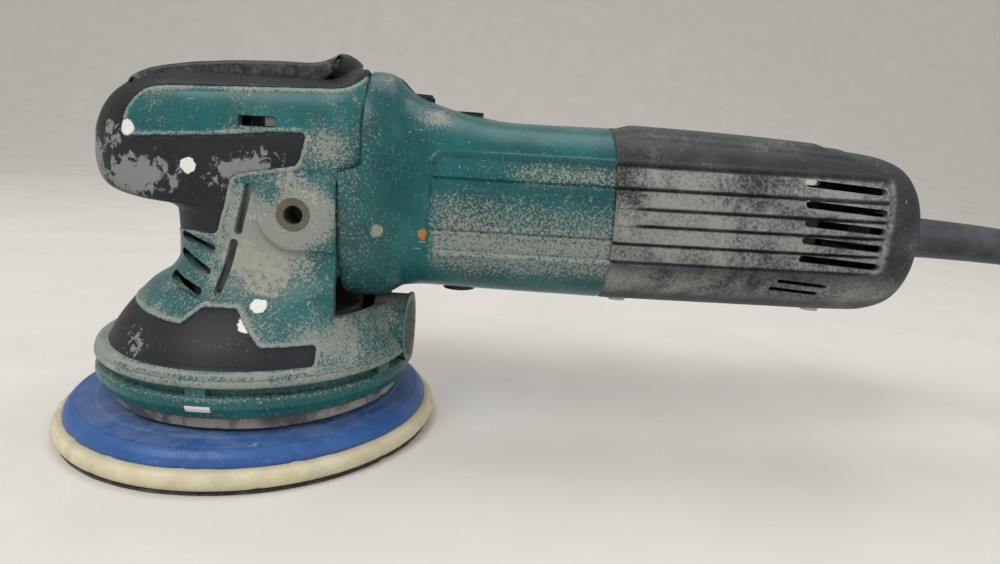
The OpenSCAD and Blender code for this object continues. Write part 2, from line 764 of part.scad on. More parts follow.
module motor_fan() {
    color(black) difference() {
        union() {
            along_x(50, 60, 10);
            along_x(58, 60, 26);
            for (i = [0 : 10]) translate([50.5, 0, motor_z]) rotate([360 * i / 11, 0, 0])
                translate([0, 2, 9]) rotate([-16, 0, 0]) cube([8, 1.4, 16]);
        }
        along_x(49, 61, 6 - run_fit);
    }
}

module motor_bearing_front() {
    color(steel) motor_bearing(32, 8, 14, 6);
}

module motor_bearing_rear() {
    color(steel) motor_bearing(147, 7, 11, 4);
}

module rear_bearing_bracket() {
    color(grey) difference() {
        union() {
            tube_x(143.5, 146.5, 29, 24);
            along_x(143, 156, 14);
            for (a = [45 : 90 : 315]) translate([144, 0, motor_z]) rotate([a, 0, 0])
                translate([0, -3, 12]) cube([2, 6, 14]);
        }
        along_x(147, 160, 11);
        along_x(140, 150, 8);
    }
}

module fan_baffle() {
    color(grey) tube_x(61.5, 63.5, 27.8, 17);
}

module field_core() {
    color(steel) union() {
        tube_x(core_x[0], core_x[1], 28.6, 24.8);
        intersection() {
            tube_x(core_x[0], core_x[1], 26, 20);
            translate([0, -40, motor_z - 10]) cube([200, 80, 20]);
        }
    }
}

module field_coils() {
    color(copper) difference() {
        intersection() {
            tube_x(core_x[0] - 6, core_x[1] + 3.5, 24.5, 21);
            translate([0, -40, motor_z - 15]) cube([200, 80, 30]);
        }
        translate([core_x[0] - 0.4, -40, motor_z - 10.4])
            cube([core_x[1] - core_x[0] + 0.8, 80, 20.8]);
    }
}

// What follows stands above and below the commutator
module above_and_below() {
    for (a = [0, 180]) translate([brush_x, 0, motor_z]) rotate([a, 0, 0]) children();
}

module brush_holders() {
    color(brass) above_and_below() difference() {
        translate([-5.5, -5, 14]) cube([11, 10, 14.8]);
        translate([-4.1, -3.6, 13]) cube([8.2, 7.2, 20]);
    }
}

module carbon_brushes() {
    color([0.2, 0.2, 0.2]) above_and_below() translate([-4, -3.5, 12.7]) cube([8, 7, 11]);
}

module brush_springs() {
    color(steel) above_and_below() coil_spring(2.6, 0.35, 23.8, 30.4, 5);
}

cap_r = 6.5;
cap_end = [36.6, 34.2];               // from the motor's axis to the end of each cap
module brush_caps() {
    color(black) for (s = [0, 1]) translate([brush_x, 0, motor_z]) rotate([s * 180, 0, 0]) difference() {
        translate([0, 0, 30.5]) cylinder(h = cap_end[s] - 30.5, r = cap_r, $fn = 48);
        translate([-cap_r, -0.7, cap_end[s] - 1.2]) cube([2 * cap_r, 1.4, 2]);
    }
}

module motor_housing() {
    color(teal) difference() {
        skin_over([for (s = BARREL) upright_ring(s, 0, 0)]);
        // Room inside, left solid in front for the web that holds the fan side
        difference() {
            skin_over([for (s = BARREL) upright_ring(s, 3, s[0] > 100 ? over : s[0] < 45 ? -over : 0)]);
            translate([45.2, -40, 40]) cube([3, 80, 110]);
            along_x(brush_x - 7.5, brush_x + 7.5, 60);
        }
        along_x(40, 142, 29.6);
        // Place of the head above the step
        across([[30, 104.7], [40, 104.7], [48.5, 107.7], [48.5, 160], [30, 160]]);
        translate([knob_x, 0, 117]) cylinder(h = knob_floor - 117, r = 4.1, $fn = 48);
        translate([knob_x, 0, knob_floor]) cylinder(h = 20, r = 9.6, $fn = 48);
        for (s = [0, 1]) translate([brush_x, 0, motor_z]) rotate([s * 180, 0, 0])
            cylinder(h = 60, r = cap_r, $fn = 48);
        for (p = boss_yz) translate([40, p[0], motor_z + p[1]]) rotate([0, 90, 0])
            cylinder(h = 9, r = 2.7, $fn = 24);
    }
}

module housing_screws() {
    color(steel) for (p = boss_yz) translate([48.3, p[0], motor_z + p[1]]) rotate([0, 90, 0])
        screw(2.4, 15, 4.2, 3);
}

// ---------- rear cover and what it holds ----------

exit_z = 90.2;
exit_r = 9.2;
cover_screw_x = [150, 232];
dial_at = [229, 19.6];

module rear_cover() {
    color(black) difference() {
        skin_over([for (s = COVER) upright_ring(s, 0, 0)]);
        skin_over([for (s = COVER) upright_ring(s, 3, s[0] < seam_x + 1 ? -over : s[0] > 245 ? -3 : 0)]);
        for (z = [108, 102, 96, 89.5, 83.2]) for (s = [-1, 1])
            translate([209, s * 32, z]) rotate([0, 3.5, 0]) translate([0, -8, -1.3]) cube([30, 16, 2.6]);
        translate([240, 0, exit_z]) rotate([0, 90, 0]) cylinder(h = 30, r = exit_r, $fn = 48);
        // Window for the speed dial
        translate([dial_at[0] - 11.4, 18, 72.2]) cube([22.8, 20, 4.6]);
        for (x = cover_screw_x) translate([x, 0, 50]) cylinder(h = 20, r = 2.2, $fn = 24);
    }
}

module cover_screws() {
    color(steel) for (x = cover_screw_x) translate([x, 0, 59.2 - 0.6]) rotate([180, 0, 0])
        screw(2, 12, 3.6, 1.6);
}

module control_module() {
    color([0.15, 0.3, 0.18]) union() {
        translate([166, -20, 72]) cube([40, 2, 40]);
        translate([170, -18.1, 76]) cube([30, 16, 30]);
    }
}

module speed_dial() {
    color(black) translate([dial_at[0], dial_at[1], 72.6]) {
        cylinder(h = 3.8, r = 10.4, $fn = fine);
        for (i = [0 : 17]) rotate([0, 0, 20 * i]) translate([9.8, -0.7, 0.3]) cube([1.2, 1.4, 3.2]);
        translate([0, 0, -1.4]) cylinder(h = 8, r = 2.5, $fn = 48);
    }
}

module terminal_block() {
    color([0.8, 0.78, 0.7]) difference() {
        translate([212, -9, 84]) cube([14, 18, 12]);
        for (y = [-4.5, 4.5]) translate([219, y, 90]) cylinder(h = 10, r = 2, $fn = 24);
    }
}

module cord_clamp() {
    color(black) union() {
        translate([239.5, -12, 80]) cube([6.5, 24, 5]);
        for (y = [-9, 9]) translate([242.7, y, 66]) cylinder(h = 14.2, r = 2.6, $fn = 32);
    }
}

// ---------- cord ----------

module strain_relief() {
    color(black) swept_bar(RELIEF, relief_r[0], relief_r[1], 12);
}

module power_cord() {
    color(black) swept_bar(LEAD, cord_d / 2, cord_d / 2, 10);
}

module cord_tail() {
    color(black) swept_bar(TAIL, cord_d / 2, cord_d / 2, 10);
}

module cord_coil() {
    half = coil_turns * cord_d / 2;
    color(black) translate(coil_at) rotate_extrude($fn = fine) polygon([
        [coil_r - half, 0.6], [coil_r - half + 2, 0], [coil_r + half - 2, 0], [coil_r + half, 0.6],
        [coil_r + half, 2 * cord_d - 2], [coil_r + half - 2, 2 * cord_d],
        [coil_r - half + 2, 2 * cord_d], [coil_r - half, 2 * cord_d - 2]
    ]);
}

plug_x = 464;
plug_y = 14;
module plug() {
    color(black) translate([plug_x, plug_y, 0]) {
        rotate([0, 90, 0]) translate([-13, 0, 0]) union() {
            cylinder(h = 14, r1 = 7, r2 = 12, $fn = 48);
            translate([0, 0, 13.9]) cylinder(h = 26, r = 13, $fn = 48);
            for (y = [-9.5, 9.5]) translate([0, y, 39.8]) cylinder(h = 19, r = 2.4, $fn = 32);
        }
        translate([0, 0, 4]) rotate([0, 90, 0]) cylinder(h = 10, r = 4.2, $fn = 32);
    }
}

hook_layer();
pad_foam();
pad_plate();
pad_bolt();
pad_shaft();
ring_gear();
shroud_plate();
skirt_ring();
dust_seal();
dust_spout();
eccentric_spindle();
counterweight();
dust_fan();
bevel_gear();
pad_bearing_lower();
pad_bearing_upper();
spindle_bearing_lower();
spindle_bearing_upper();
gear_housing();
handle_inserts();
head_casing();
front_grip();
lower_band();
paddle_lever();
lever_pin();
lever_spring();
switch_body();
switch_plunger();
lock_slider();
mode_knob();
ring_lock_pin();
bevel_pinion();
armature_shaft();
armature_core();
armature_windings();
commutator();
motor_fan();
motor_bearing_front();
motor_bearing_rear();
rear_bearing_bracket();
fan_baffle();
field_core();
field_coils();
brush_holders();
carbon_brushes();
brush_springs();
brush_caps();
motor_housing();
rear_cover();
housing_screws();
cover_screws();
control_module();
speed_dial();
terminal_block();
cord_clamp();
strain_relief();
power_cord();
cord_coil();
cord_tail();
plug();
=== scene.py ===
import json
import math

import bpy
import numpy as np
from mathutils import Matrix, Vector


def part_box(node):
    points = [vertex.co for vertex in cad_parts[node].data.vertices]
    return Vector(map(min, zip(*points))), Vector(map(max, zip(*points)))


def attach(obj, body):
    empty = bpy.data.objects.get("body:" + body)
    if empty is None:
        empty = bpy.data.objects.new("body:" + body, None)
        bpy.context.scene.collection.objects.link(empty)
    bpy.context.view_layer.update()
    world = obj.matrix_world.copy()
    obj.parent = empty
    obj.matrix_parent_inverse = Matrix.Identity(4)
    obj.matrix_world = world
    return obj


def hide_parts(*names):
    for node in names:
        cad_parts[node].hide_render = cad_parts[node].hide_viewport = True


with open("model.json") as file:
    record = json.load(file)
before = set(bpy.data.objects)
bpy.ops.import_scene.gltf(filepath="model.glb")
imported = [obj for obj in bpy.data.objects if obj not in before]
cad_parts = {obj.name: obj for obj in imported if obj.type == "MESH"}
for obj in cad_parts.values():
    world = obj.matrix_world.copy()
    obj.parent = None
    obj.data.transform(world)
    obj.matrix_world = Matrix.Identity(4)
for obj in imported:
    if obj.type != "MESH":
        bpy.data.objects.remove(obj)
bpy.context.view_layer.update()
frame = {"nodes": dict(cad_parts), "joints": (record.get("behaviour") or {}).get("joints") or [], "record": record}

# Everything is in metres, in the row frame: +Z up, +X along the motor towards the cord.
MM = 0.001
RECORD = frame["record"]
NODES = frame["nodes"]
SLOTS = {part["node"]: part["material_slot"] for part in RECORD["subparts"]}


def joint_point(name):
    """Where a joint's axis passes, from the record."""
    return Vector(next(j for j in frame["joints"] if j["name"] == name)["pos_m"])


AXIS_X = joint_point("spindle_spin").x
MOTOR_Z = joint_point("armature_spin").z
FLANGE_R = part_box("skirt_ring")[1].y


# ---------- camera ----------

def turned(vector, axis, degrees):
    return Matrix.Rotation(math.radians(degrees), 3, axis) @ vector


def make_camera():
    """Camera a little left of the object's middle, looking along +Y and down, slightly rolled."""
    yaw, pitch, roll = -1.72, -12.14, -3.48
    ahead, right, up = Vector((0, 1, 0)), Vector((1, 0, 0)), Vector((0, 0, 1))
    upright = up.copy()
    ahead, right = turned(ahead, upright, yaw), turned(right, upright, yaw)
    ahead, up = turned(ahead, right, pitch), turned(up, right, pitch)
    right, up = turned(right, ahead, roll), turned(up, ahead, roll)
    data = bpy.data.cameras.new("camera")
    data.lens = 24.47
    data.sensor_width = 36
    data.clip_start = 0.01
    camera = bpy.data.objects.new("camera", data)
    matrix = Matrix((right, up, -ahead)).transposed().to_4x4()
    matrix.translation = Vector((0.0926, -0.277, 0.1209))
    camera.matrix_world = matrix
    bpy.context.scene.collection.objects.link(camera)
    bpy.context.scene.camera = camera


make_camera()


# ---------- material nodes ----------

class Shade:
    """Builds one node material: every method adds a node and returns its output."""

    def __init__(self, name, **fixed):
        self.material = bpy.data.materials.new(name)
        self.material.use_nodes = True
        self.tree = self.material.node_tree
        self.tree.nodes.clear()
        self.out = self.tree.nodes.new("ShaderNodeOutputMaterial")
        self.shader = self.tree.nodes.new("ShaderNodeBsdfPrincipled")
        self.tree.links.new(self.shader.outputs[0], self.out.inputs[0])
        self.place = self.tree.nodes.new("ShaderNodeTexCoord").outputs["Object"]
        for socket, value in fixed.items():
            self.shader.inputs[socket.replace("_", " ")].default_value = value

    def put(self, socket, value):
        if isinstance(value, bpy.types.NodeSocket):
            self.tree.links.new(value, socket)
        elif socket.type == "RGBA" and len(value) == 3:
            socket.default_value = (*value, 1)
        else:
            socket.default_value = value

    def stretched(self, scale):
        """Place, scaled by a factor along each axis."""
        node = self.tree.nodes.new("ShaderNodeMapping")
        self.put(node.inputs["Vector"], self.place)
        node.inputs["Scale"].default_value = scale
        return node.outputs[0]

    def noise(self, size, detail=3.0, rough=0.55, warp=0.0, at=None):
        """Noise with features about size metres across."""
        node = self.tree.nodes.new("ShaderNodeTexNoise")
        self.put(node.inputs["Vector"], at or self.place)
        node.inputs["Scale"].default_value = 1 / size
        node.inputs["Detail"].default_value = detail
        node.inputs["Roughness"].default_value = rough
        node.inputs["Distortion"].default_value = warp
        return node.outputs["Fac"]

    def cells(self, size, feature="F1", at=None):
        node = self.tree.nodes.new("ShaderNodeTexVoronoi")
        node.feature = feature
        self.put(node.inputs["Vector"], at or self.place)
        node.inputs["Scale"].default_value = 1 / size
        return node.outputs["Distance"]

    def step(self, value, low, high):
        """0 below low, 1 above high, smooth between; low may be the greater."""
        node = self.tree.nodes.new("ShaderNodeMapRange")
        node.interpolation_type = "SMOOTHSTEP"
        self.put(node.inputs["Value"], value)
        turn = low > high
        self.put(node.inputs["From Min"], high if turn else low)
        self.put(node.inputs["From Max"], low if turn else high)
        self.put(node.inputs["To Min"], 1.0 if turn else 0.0)
        self.put(node.inputs["To Max"], 0.0 if turn else 1.0)
        return node.outputs[0]

    def sum(self, a, b, kind="ADD"):
        node = self.tree.nodes.new("ShaderNodeMath")
        node.operation = kind
        node.use_clamp = kind in ("ADD", "MULTIPLY", "SUBTRACT", "MAXIMUM")
        self.put(node.inputs[0], a)
        self.put(node.inputs[1], b)
        return node.outputs[0]

    def times(self, a, b):
        return self.sum(a, b, "MULTIPLY")

    def most(self, *values):
        found = values[0]
        for value in values[1:]:
            found = self.sum(found, value, "MAXIMUM")
        return found

    def mix(self, share, a, b):
        node = self.tree.nodes.new("ShaderNodeMix")
        node.data_type = "RGBA"
        self.put(node.inputs[0], share)
        self.put(node.inputs[6], a)
        self.put(node.inputs[7], b)
        return node.outputs[2]

    def blend(self, share, a, b):
        """Number that goes from a to b."""
        node = self.tree.nodes.new("ShaderNodeMix")
        self.put(node.inputs[0], share)
        self.put(node.inputs[2], a)
        self.put(node.inputs[3], b)
        return node.outputs[0]

    def bump(self, height, depth, below=None):
        node = self.tree.nodes.new("ShaderNodeBump")
        node.inputs["Distance"].default_value = depth
        node.inputs["Strength"].default_value = 1.0
        self.put(node.inputs["Height"], height)
        if below is not None:
            self.put(node.inputs["Normal"], below)
        return node.outputs[0]

    def painted(self, name):
        """Number that the mesh holds at each point."""
        node = self.tree.nodes.new("ShaderNodeAttribute")
        node.attribute_name = name
        return node.outputs["Fac"]

    def spot(self, centre, radius):
        """1 within radius of a point, with a ragged edge."""
        near = self.tree.nodes.new("ShaderNodeVectorMath")
        near.operation = "DISTANCE"
        self.put(near.inputs[0], self.place)
        near.inputs[1].default_value = centre
        ragged = self.sum(self.times(self.noise(radius * 0.6, 2), radius * 0.6), radius * 0.7)
        return self.step(self.sum(near.outputs["Value"], ragged, "SUBTRACT"), radius * 0.12, 0.0)

    def mark(self, centre, half_x, half_z):
        """1 in a small block of the side towards -Y."""
        split = self.tree.nodes.new("ShaderNodeSeparateXYZ")
        self.put(split.inputs[0], self.place)
        near = self.step(split.outputs["Y"], centre[1] + 4 * MM, centre[1] + 3 * MM)
        for socket, middle, half in (("X", centre[0], half_x), ("Z", centre[2], half_z)):
            along = split.outputs[socket]
            away = self.sum(self.sum(along, middle, "SUBTRACT"), self.sum(middle, along, "SUBTRACT"))
            near = self.times(near, self.step(away, half + 0.15 * MM, half - 0.15 * MM))
        return near

    def facing_up(self):
        node = self.tree.nodes.new("ShaderNodeNewGeometry")
        split = self.tree.nodes.new("ShaderNodeSeparateXYZ")
        self.tree.links.new(node.outputs["Normal"], split.inputs[0])
        return split.outputs["Z"]

    def finish(self, colour, rough, normal=None):
        self.put(self.shader.inputs["Base Color"], colour)
        self.put(self.shader.inputs["Roughness"], rough)
        if normal is not None:
            self.put(self.shader.inputs["Normal"], normal)
        return self.material


def dried_compound(s, amount, fleck=1.0 * MM, patch=14 * MM):
    """Flecks of dried compound, gathered in patches. amount is 0 to 1, or a socket."""
    patches = s.noise(patch, 3, 0.6, 0.4)
    need = s.blend(s.times(s.step(patches, 0.34, 0.70), amount), 0.72, 0.46)
    flecks = s.noise(fleck, 4, 0.62, 0.5)
    gap = s.sum(flecks, need, "SUBTRACT")
    return s.step(gap, 0.0, 0.05)


def scratches(s, size=9 * MM, share=0.5):
    """Thin short strokes in two directions."""
    found = None
    for scale in ((0.10, 0.5, 1.0), (1.0, 0.5, 0.14)):
        strokes = s.noise(size * 0.09, 2, 0.5, 0.0, s.stretched(scale))
        here = s.step(s.noise(size * 2.4, 2), 0.50, 0.62)
        stroke = s.times(s.step(strokes, 0.70, 0.78), here)
        found = stroke if found is None else s.most(found, stroke)
    return s.times(found, share)


def dusty_plastic(name, base, light, dust, rough, haze, flecks, spots=(), caked=(), rust=()):
    """Moulded plastic: base colour, worn lighter places, gritty dust, flecks and pale spots."""
    s = Shade(name, Specular_IOR_Level=0.32)
    place = s.painted("dust")
    tone = s.mix(s.step(s.noise(22 * MM, 4, 0.6), 0.35, 0.7), base, light)
    cloud = s.step(s.noise(26 * MM, 5, 0.62, 0.8), 0.42, 0.70)
    cover = s.sum(s.times(cloud, haze), s.times(place, 0.95))
    cover = s.sum(cover, s.times(s.step(s.facing_up(), 0.45, 1.0), haze * 0.3))
    grit = s.noise(0.9 * MM, 5, 0.72, 0.3)
    film = s.step(s.sum(grit, s.times(cover, 0.30)), 0.62, 0.70)
    tone = s.mix(s.times(cover, 0.10), tone, dust)
    tone = s.mix(s.times(film, 0.72), tone, dust)
    grains = dried_compound(s, s.sum(s.times(cover, 0.5), flecks))
    marks = scratches(s, 9 * MM, 0.8)
    tone = s.mix(s.times(grains, 0.85), tone, tuple(c * 1.15 for c in dust))
    tone = s.mix(marks, tone, tuple(min(1.0, c * 1.4) for c in dust))
    for centre, radius in caked:
        crust = s.times(s.spot(centre, radius), s.step(s.noise(2.2 * MM, 4), 0.40, 0.56))
        tone = s.mix(s.times(crust, 0.8), tone, (0.36, 0.35, 0.29))
    for centre, radius in rust:
        tone = s.mix(s.spot(centre, radius), tone, (0.42, 0.17, 0.05))
    bar = s.mark((AXIS_X - 2.7 * MM, -FLANGE_R, 25 * MM), 4.3 * MM, 1.15 * MM)
    tone = s.mix(bar, tone, (0.72, 0.71, 0.67))
    relief = s.sum(s.times(s.noise(0.55 * MM, 2), 0.25), s.times(grains, 0.75))
    for centre, radius in spots:
        drop = s.spot(centre, radius)
        tone = s.mix(drop, tone, (0.78, 0.77, 0.72))
        relief = s.most(relief, drop)
    worn = s.blend(s.most(film, grains), rough, 0.85)
    return s.finish(tone, worn, s.bump(s.sum(relief, s.times(film, 0.35)), 0.12 * MM))


TEAL = (0.002, 0.066, 0.074)
TEAL_LIGHT = (0.008, 0.120, 0.122)
DUST = (0.36, 0.36, 0.32)
BLACK = (0.010, 0.012, 0.016)
BLACK_WORN = (0.025, 0.028, 0.034)
GREY_DUST = (0.31, 0.315, 0.30)


def machined(name, base, rough, grain=0.4 * MM, metallic=1.0):
    """Turned or ground metal, with fine lines and a thin dull film."""
    s = Shade(name, Metallic=metallic)
    lines = s.noise(grain, 3, 0.6, 0.0, s.stretched((1, 1, 6)))
    film = s.step(s.noise(9 * MM, 4), 0.45, 0.75)
    tone = s.mix(s.times(film, 0.45), base, tuple(c * 0.45 for c in base))
    dull = s.blend(s.sum(lines, s.times(film, 0.3)), rough, rough + 0.3)
    return s.finish(tone, dull, s.bump(lines, 0.03 * MM))


def moulded(name, base, rough, grain=0.5 * MM, film=0.3):
    """Plain moulded part with a fine texture and uneven dust."""
    s = Shade(name)
    cloud = s.step(s.noise(12 * MM, 4, 0.6), 0.4, 0.75)
    tone = s.mix(s.times(cloud, film), base, tuple(0.5 * c + 0.2 for c in base))
    return s.finish(tone, s.blend(cloud, rough, min(1.0, rough + 0.25)), s.bump(s.noise(grain, 2), 0.05 * MM))


def make_teal(name, haze, flecks, rough, base=TEAL, light=TEAL_LIGHT):
    head_spots = [((-0.0340, -0.0270, 0.1157), 3.6 * MM), ((0.0150, -0.0443, 0.0586), 3.4 * MM)]
    # Small pale dots on the motor housing, painted in the spots' pale colour.
    motor_spots = [((0.0717, -0.029, 0.1242), 1.5 * MM), ((0.0709, -0.032, 0.1158), 1.0 * MM),
                   ((0.1159, -0.029, 0.0703), 1.4 * MM)]
    caked = [((0.0161, -0.036, 0.0668), 8 * MM), ((0.0060, -0.036, 0.0725), 7 * MM),
             ((0.0240, -0.0345, 0.1035), 6 * MM), ((0.0542, -0.0335, 0.0846), 2.4 * MM)]
    rust = [((0.0709, -0.033, 0.0842), 2.0 * MM), ((0.1088, -0.029, 0.1178), 1.5 * MM)]
    return dusty_plastic(name, base, light, DUST, rough, haze, flecks,
                         head_spots + motor_spots, caked, rust)


def make_grip_rubber():
    """Black overmould, with grey crusts of compound where a hand has rubbed."""
    s = Shade("grip_rubber", Specular_IOR_Level=0.3)
    place = s.painted("dust")
    cloud = s.step(s.noise(18 * MM, 4, 0.6), 0.35, 0.75)
    tone = s.mix(s.times(cloud, 0.5), BLACK, BLACK_WORN)
    crust = s.step(s.sum(s.noise(4 * MM, 5, 0.7, 0.8), s.times(place, 0.32)), 0.66, 0.72)
    crust = s.times(crust, s.step(place, 0.05, 0.3))
    flecks = dried_compound(s, 0.30, 0.8 * MM)
    tone = s.mix(s.times(crust, 0.85), tone, (0.26, 0.265, 0.265))
    tone = s.mix(s.times(flecks, 0.75), tone, DUST)
    relief = s.sum(s.times(s.noise(0.5 * MM, 2), 0.3), s.times(crust, 0.6))
    for centre, radius in [((-0.0129, -0.0310, 0.1040), 2.6 * MM), ((0.0136, -0.0498, 0.0536), 4.2 * MM)]:
        drop = s.spot(centre, radius)
        tone = s.mix(drop, tone, (0.80, 0.79, 0.75))
        relief = s.most(relief, drop)
    rough = s.blend(s.most(crust, flecks), 0.50, 0.85)
    return s.finish(tone, rough, s.bump(relief, 0.14 * MM))


def make_cover_plastic():
    """Black ribbed plastic: dust lies on the ribs, and the grooves are left bare of it so that they show as dark
    lines of painted shade.
    """
    s = Shade("cover_plastic", Specular_IOR_Level=0.3)
    place = s.painted("dust")
    tone = s.mix(s.step(s.noise(14 * MM, 4), 0.4, 0.7), BLACK, BLACK_WORN)
    cloud = s.noise(20 * MM, 5, 0.62, 0.5)
    grit = s.noise(1.1 * MM, 4, 0.65)
    # The dust values are low in the grooves, so the grooves stay black there: painted shade.
    film = s.times(place, s.step(s.sum(s.times(cloud, 0.6), s.times(grit, 0.5)), 0.38, 0.66))
    tone = s.mix(s.times(film, 0.85), tone, GREY_DUST)
    loose = s.times(s.step(cloud, 0.5, 0.74), s.step(grit, 0.42, 0.6))
    tone = s.mix(s.times(loose, 0.45), tone, GREY_DUST)
    white = s.step(s.noise(1.7 * MM, 3, 0.5, 0.6), 0.735, 0.76)
    marks = s.times(s.most(scratches(s, 8 * MM, 0.4), white), 0.9)
    tone = s.mix(marks, tone, (0.62, 0.62, 0.60))
    rough = s.blend(film, 0.48, 0.88)
    return s.finish(tone, rough, s.bump(s.sum(s.times(grit, 0.5), marks), 0.16 * MM))


def make_blue_plate():
    """Blue plastic: the inner slope is hazy, the edge scuffed, with a few pale nicks; the haze also carries a
    painted highlight ring along the step's edge.
    """
    s = Shade("blue_plate")
    place = s.painted("dust")
    tone = s.mix(s.step(s.noise(16 * MM, 4), 0.35, 0.7), (0.016, 0.082, 0.29), (0.026, 0.110, 0.34))
    # The haze colour also paints the highlight ring at the step's edge.
    haze = s.times(place, s.step(s.noise(12 * MM, 5, 0.65, 0.5), 0.28, 0.66))
    tone = s.mix(s.times(haze, 0.55), tone, (0.19, 0.25, 0.37))
    scuffs = s.times(s.step(s.noise(1.6 * MM, 4, 0.6, 0.9, s.stretched((0.5, 0.5, 1.4))), 0.62, 0.68),
                     s.step(s.noise(20 * MM, 2), 0.42, 0.6))
    tone = s.mix(s.times(scuffs, 0.45), tone, (0.30, 0.42, 0.70))
    dark = s.times(s.step(s.noise(2.4 * MM, 3, 0.5, 1.0), 0.70, 0.74), 0.8)
    tone = s.mix(dark, tone, (0.012, 0.03, 0.13))
    rough = s.blend(s.most(haze, scuffs), 0.42, 0.8)
    return s.finish(tone, rough, s.bump(s.sum(scuffs, s.noise(0.7 * MM, 2)), 0.10 * MM))


def make_foam():
    """Cream closed foam with a sanded face, stains and a few pits."""
    s = Shade("pad_foam")
    s.shader.inputs["Subsurface Weight"].default_value = 0.06
    cells = s.cells(0.7 * MM)
    stain = s.step(s.noise(16 * MM, 5, 0.6, 0.4), 0.45, 0.75)
    tone = s.mix(s.step(s.noise(6 * MM, 4), 0.3, 0.7), (0.62, 0.545, 0.37), (0.70, 0.635, 0.46))
    tone = s.mix(s.times(stain, 0.55), tone, (0.46, 0.40, 0.29))
    # Darker where the mesh values are high: near the bottom and top faces.
    tone = s.mix(s.times(s.painted("dust"), 0.65), tone, (0.33, 0.29, 0.22))
    pits = s.step(s.noise(1.5 * MM, 2, 0.5), 0.70, 0.76)
    tone = s.mix(s.times(pits, 0.5), tone, (0.36, 0.30, 0.2))
    height = s.sum(s.times(cells, 0.5), s.times(pits, -0.5))
    return s.finish(tone, 0.92, s.bump(height, 0.22 * MM))


def make_hook():
    """Dark hook fabric: fine rows of pile."""
    s = Shade("hook_fabric", Sheen_Weight=0.15)
    rows = s.cells(0.9 * MM)
    tone = s.mix(s.step(rows, 0.2, 0.6), (0.05, 0.048, 0.045), (0.016, 0.015, 0.016))
    tone = s.mix(s.times(s.step(s.noise(7 * MM, 4), 0.5, 0.7), 0.4), tone, (0.2, 0.18, 0.15))
    return s.finish(tone, 0.9, s.bump(rows, 0.3 * MM))


def make_seal():
    """Grey-brown rubber with dark smears and worn pale places."""
    s = Shade("seal_rubber")
    cloud = s.step(s.noise(20 * MM, 4, 0.6, 0.7), 0.42, 0.58)
    tone = s.mix(cloud, (0.085, 0.080, 0.090), (0.33, 0.30, 0.265))
    smear = s.step(s.noise(5 * MM, 4, 0.6, 1.2, s.stretched((1, 1, 0.4))), 0.56, 0.66)
    tone = s.mix(s.times(smear, 0.6), tone, (0.055, 0.05, 0.055))
    return s.finish(tone, 0.72, s.bump(s.noise(1.2 * MM, 4), 0.12 * MM))


def make_cord_rubber():
    """Matt black sheath with fine rings from its making and a little dust."""
    s = Shade("cord_rubber")
    cloud = s.step(s.noise(14 * MM, 4, 0.6), 0.40, 0.72)
    tone = s.mix(s.times(cloud, 0.7), (0.030, 0.033, 0.042), (0.095, 0.10, 0.115))
    rub = s.step(s.noise(2.2 * MM, 3, 0.6, 0.6, s.stretched((0.25, 1, 1))), 0.62, 0.72)
    tone = s.mix(s.times(rub, 0.35), tone, (0.2, 0.2, 0.21))
    return s.finish(tone, s.blend(cloud, 0.45, 0.7), s.bump(s.noise(0.8 * MM, 2), 0.06 * MM))


def make_lever_plastic():
    """Black paddle, polished by the palm and grey with dust towards its ends."""
    s = Shade("lever_plastic", Specular_IOR_Level=0.35)
    place = s.painted("dust")
    tone = s.mix(s.step(s.noise(12 * MM, 4), 0.4, 0.7), (0.013, 0.015, 0.018), (0.026, 0.028, 0.032))
    film = s.times(place, s.step(s.noise(3 * MM, 5, 0.66, 0.5), 0.42, 0.62))
    tone = s.mix(s.times(film, 0.6), tone, (0.24, 0.24, 0.25))
    flecks = dried_compound(s, 0.15, 0.7 * MM)
    tone = s.mix(s.times(flecks, 0.7), tone, DUST)
    return s.finish(tone, s.blend(film, 0.42, 0.8), s.bump(s.noise(0.5 * MM, 2), 0.05 * MM))


MATERIALS = {
    "hook_fabric": make_hook(),
    "pad_foam": make_foam(),
    "blue_plate": make_blue_plate(),
    "steel": machined("steel", (0.50, 0.51, 0.53), 0.28),
    "bearing_steel": machined("bearing_steel", (0.58, 0.59, 0.62), 0.18),
    "grey_plastic": moulded("grey_plastic", (0.17, 0.165, 0.16), 0.55),
    "teal_plastic": make_teal("teal_plastic", 0.09, 0.36, 0.27),
    "skirt_teal": make_teal("skirt_teal", 0.12, 0.30, 0.34, (0.004, 0.085, 0.088), (0.009, 0.120, 0.120)),
    "head_teal": make_teal("head_teal", 0.42, 0.50, 0.34, (0.005, 0.090, 0.096), (0.012, 0.130, 0.134)),
    "black_plastic": make_cover_plastic(),
    "lever_plastic": make_lever_plastic(),
    "inner_plastic": moulded("inner_plastic", (0.03, 0.03, 0.033), 0.5),
    "seal_rubber": make_seal(),
    "grip_rubber": make_grip_rubber(),
    "red_plastic": moulded("red_plastic", (0.42, 0.03, 0.02), 0.4),
    "pale_plastic": moulded("pale_plastic", (0.15, 0.145, 0.13), 0.6, film=0.5),
    "aluminium": machined("aluminium", (0.62, 0.63, 0.64), 0.42, 0.9 * MM),
    "brass": machined("brass", (0.20, 0.19, 0.16), 0.55),
    "laminations": machined("laminations", (0.30, 0.30, 0.32), 0.4, 0.5 * MM),
    "copper": machined("copper", (0.60, 0.24, 0.10), 0.34, 0.4 * MM),
    "carbon": moulded("carbon", (0.03, 0.03, 0.03), 0.6),
    "green_board": moulded("green_board", (0.02, 0.13, 0.05), 0.35),
    "cord_rubber": make_cord_rubber(),
}


# ---------- meshes ----------

def smoothstep(x, low, high):
    t = np.clip((np.asarray(x, float) - low) / (high - low), 0, 1)
    return t * t * (3 - 2 * t)


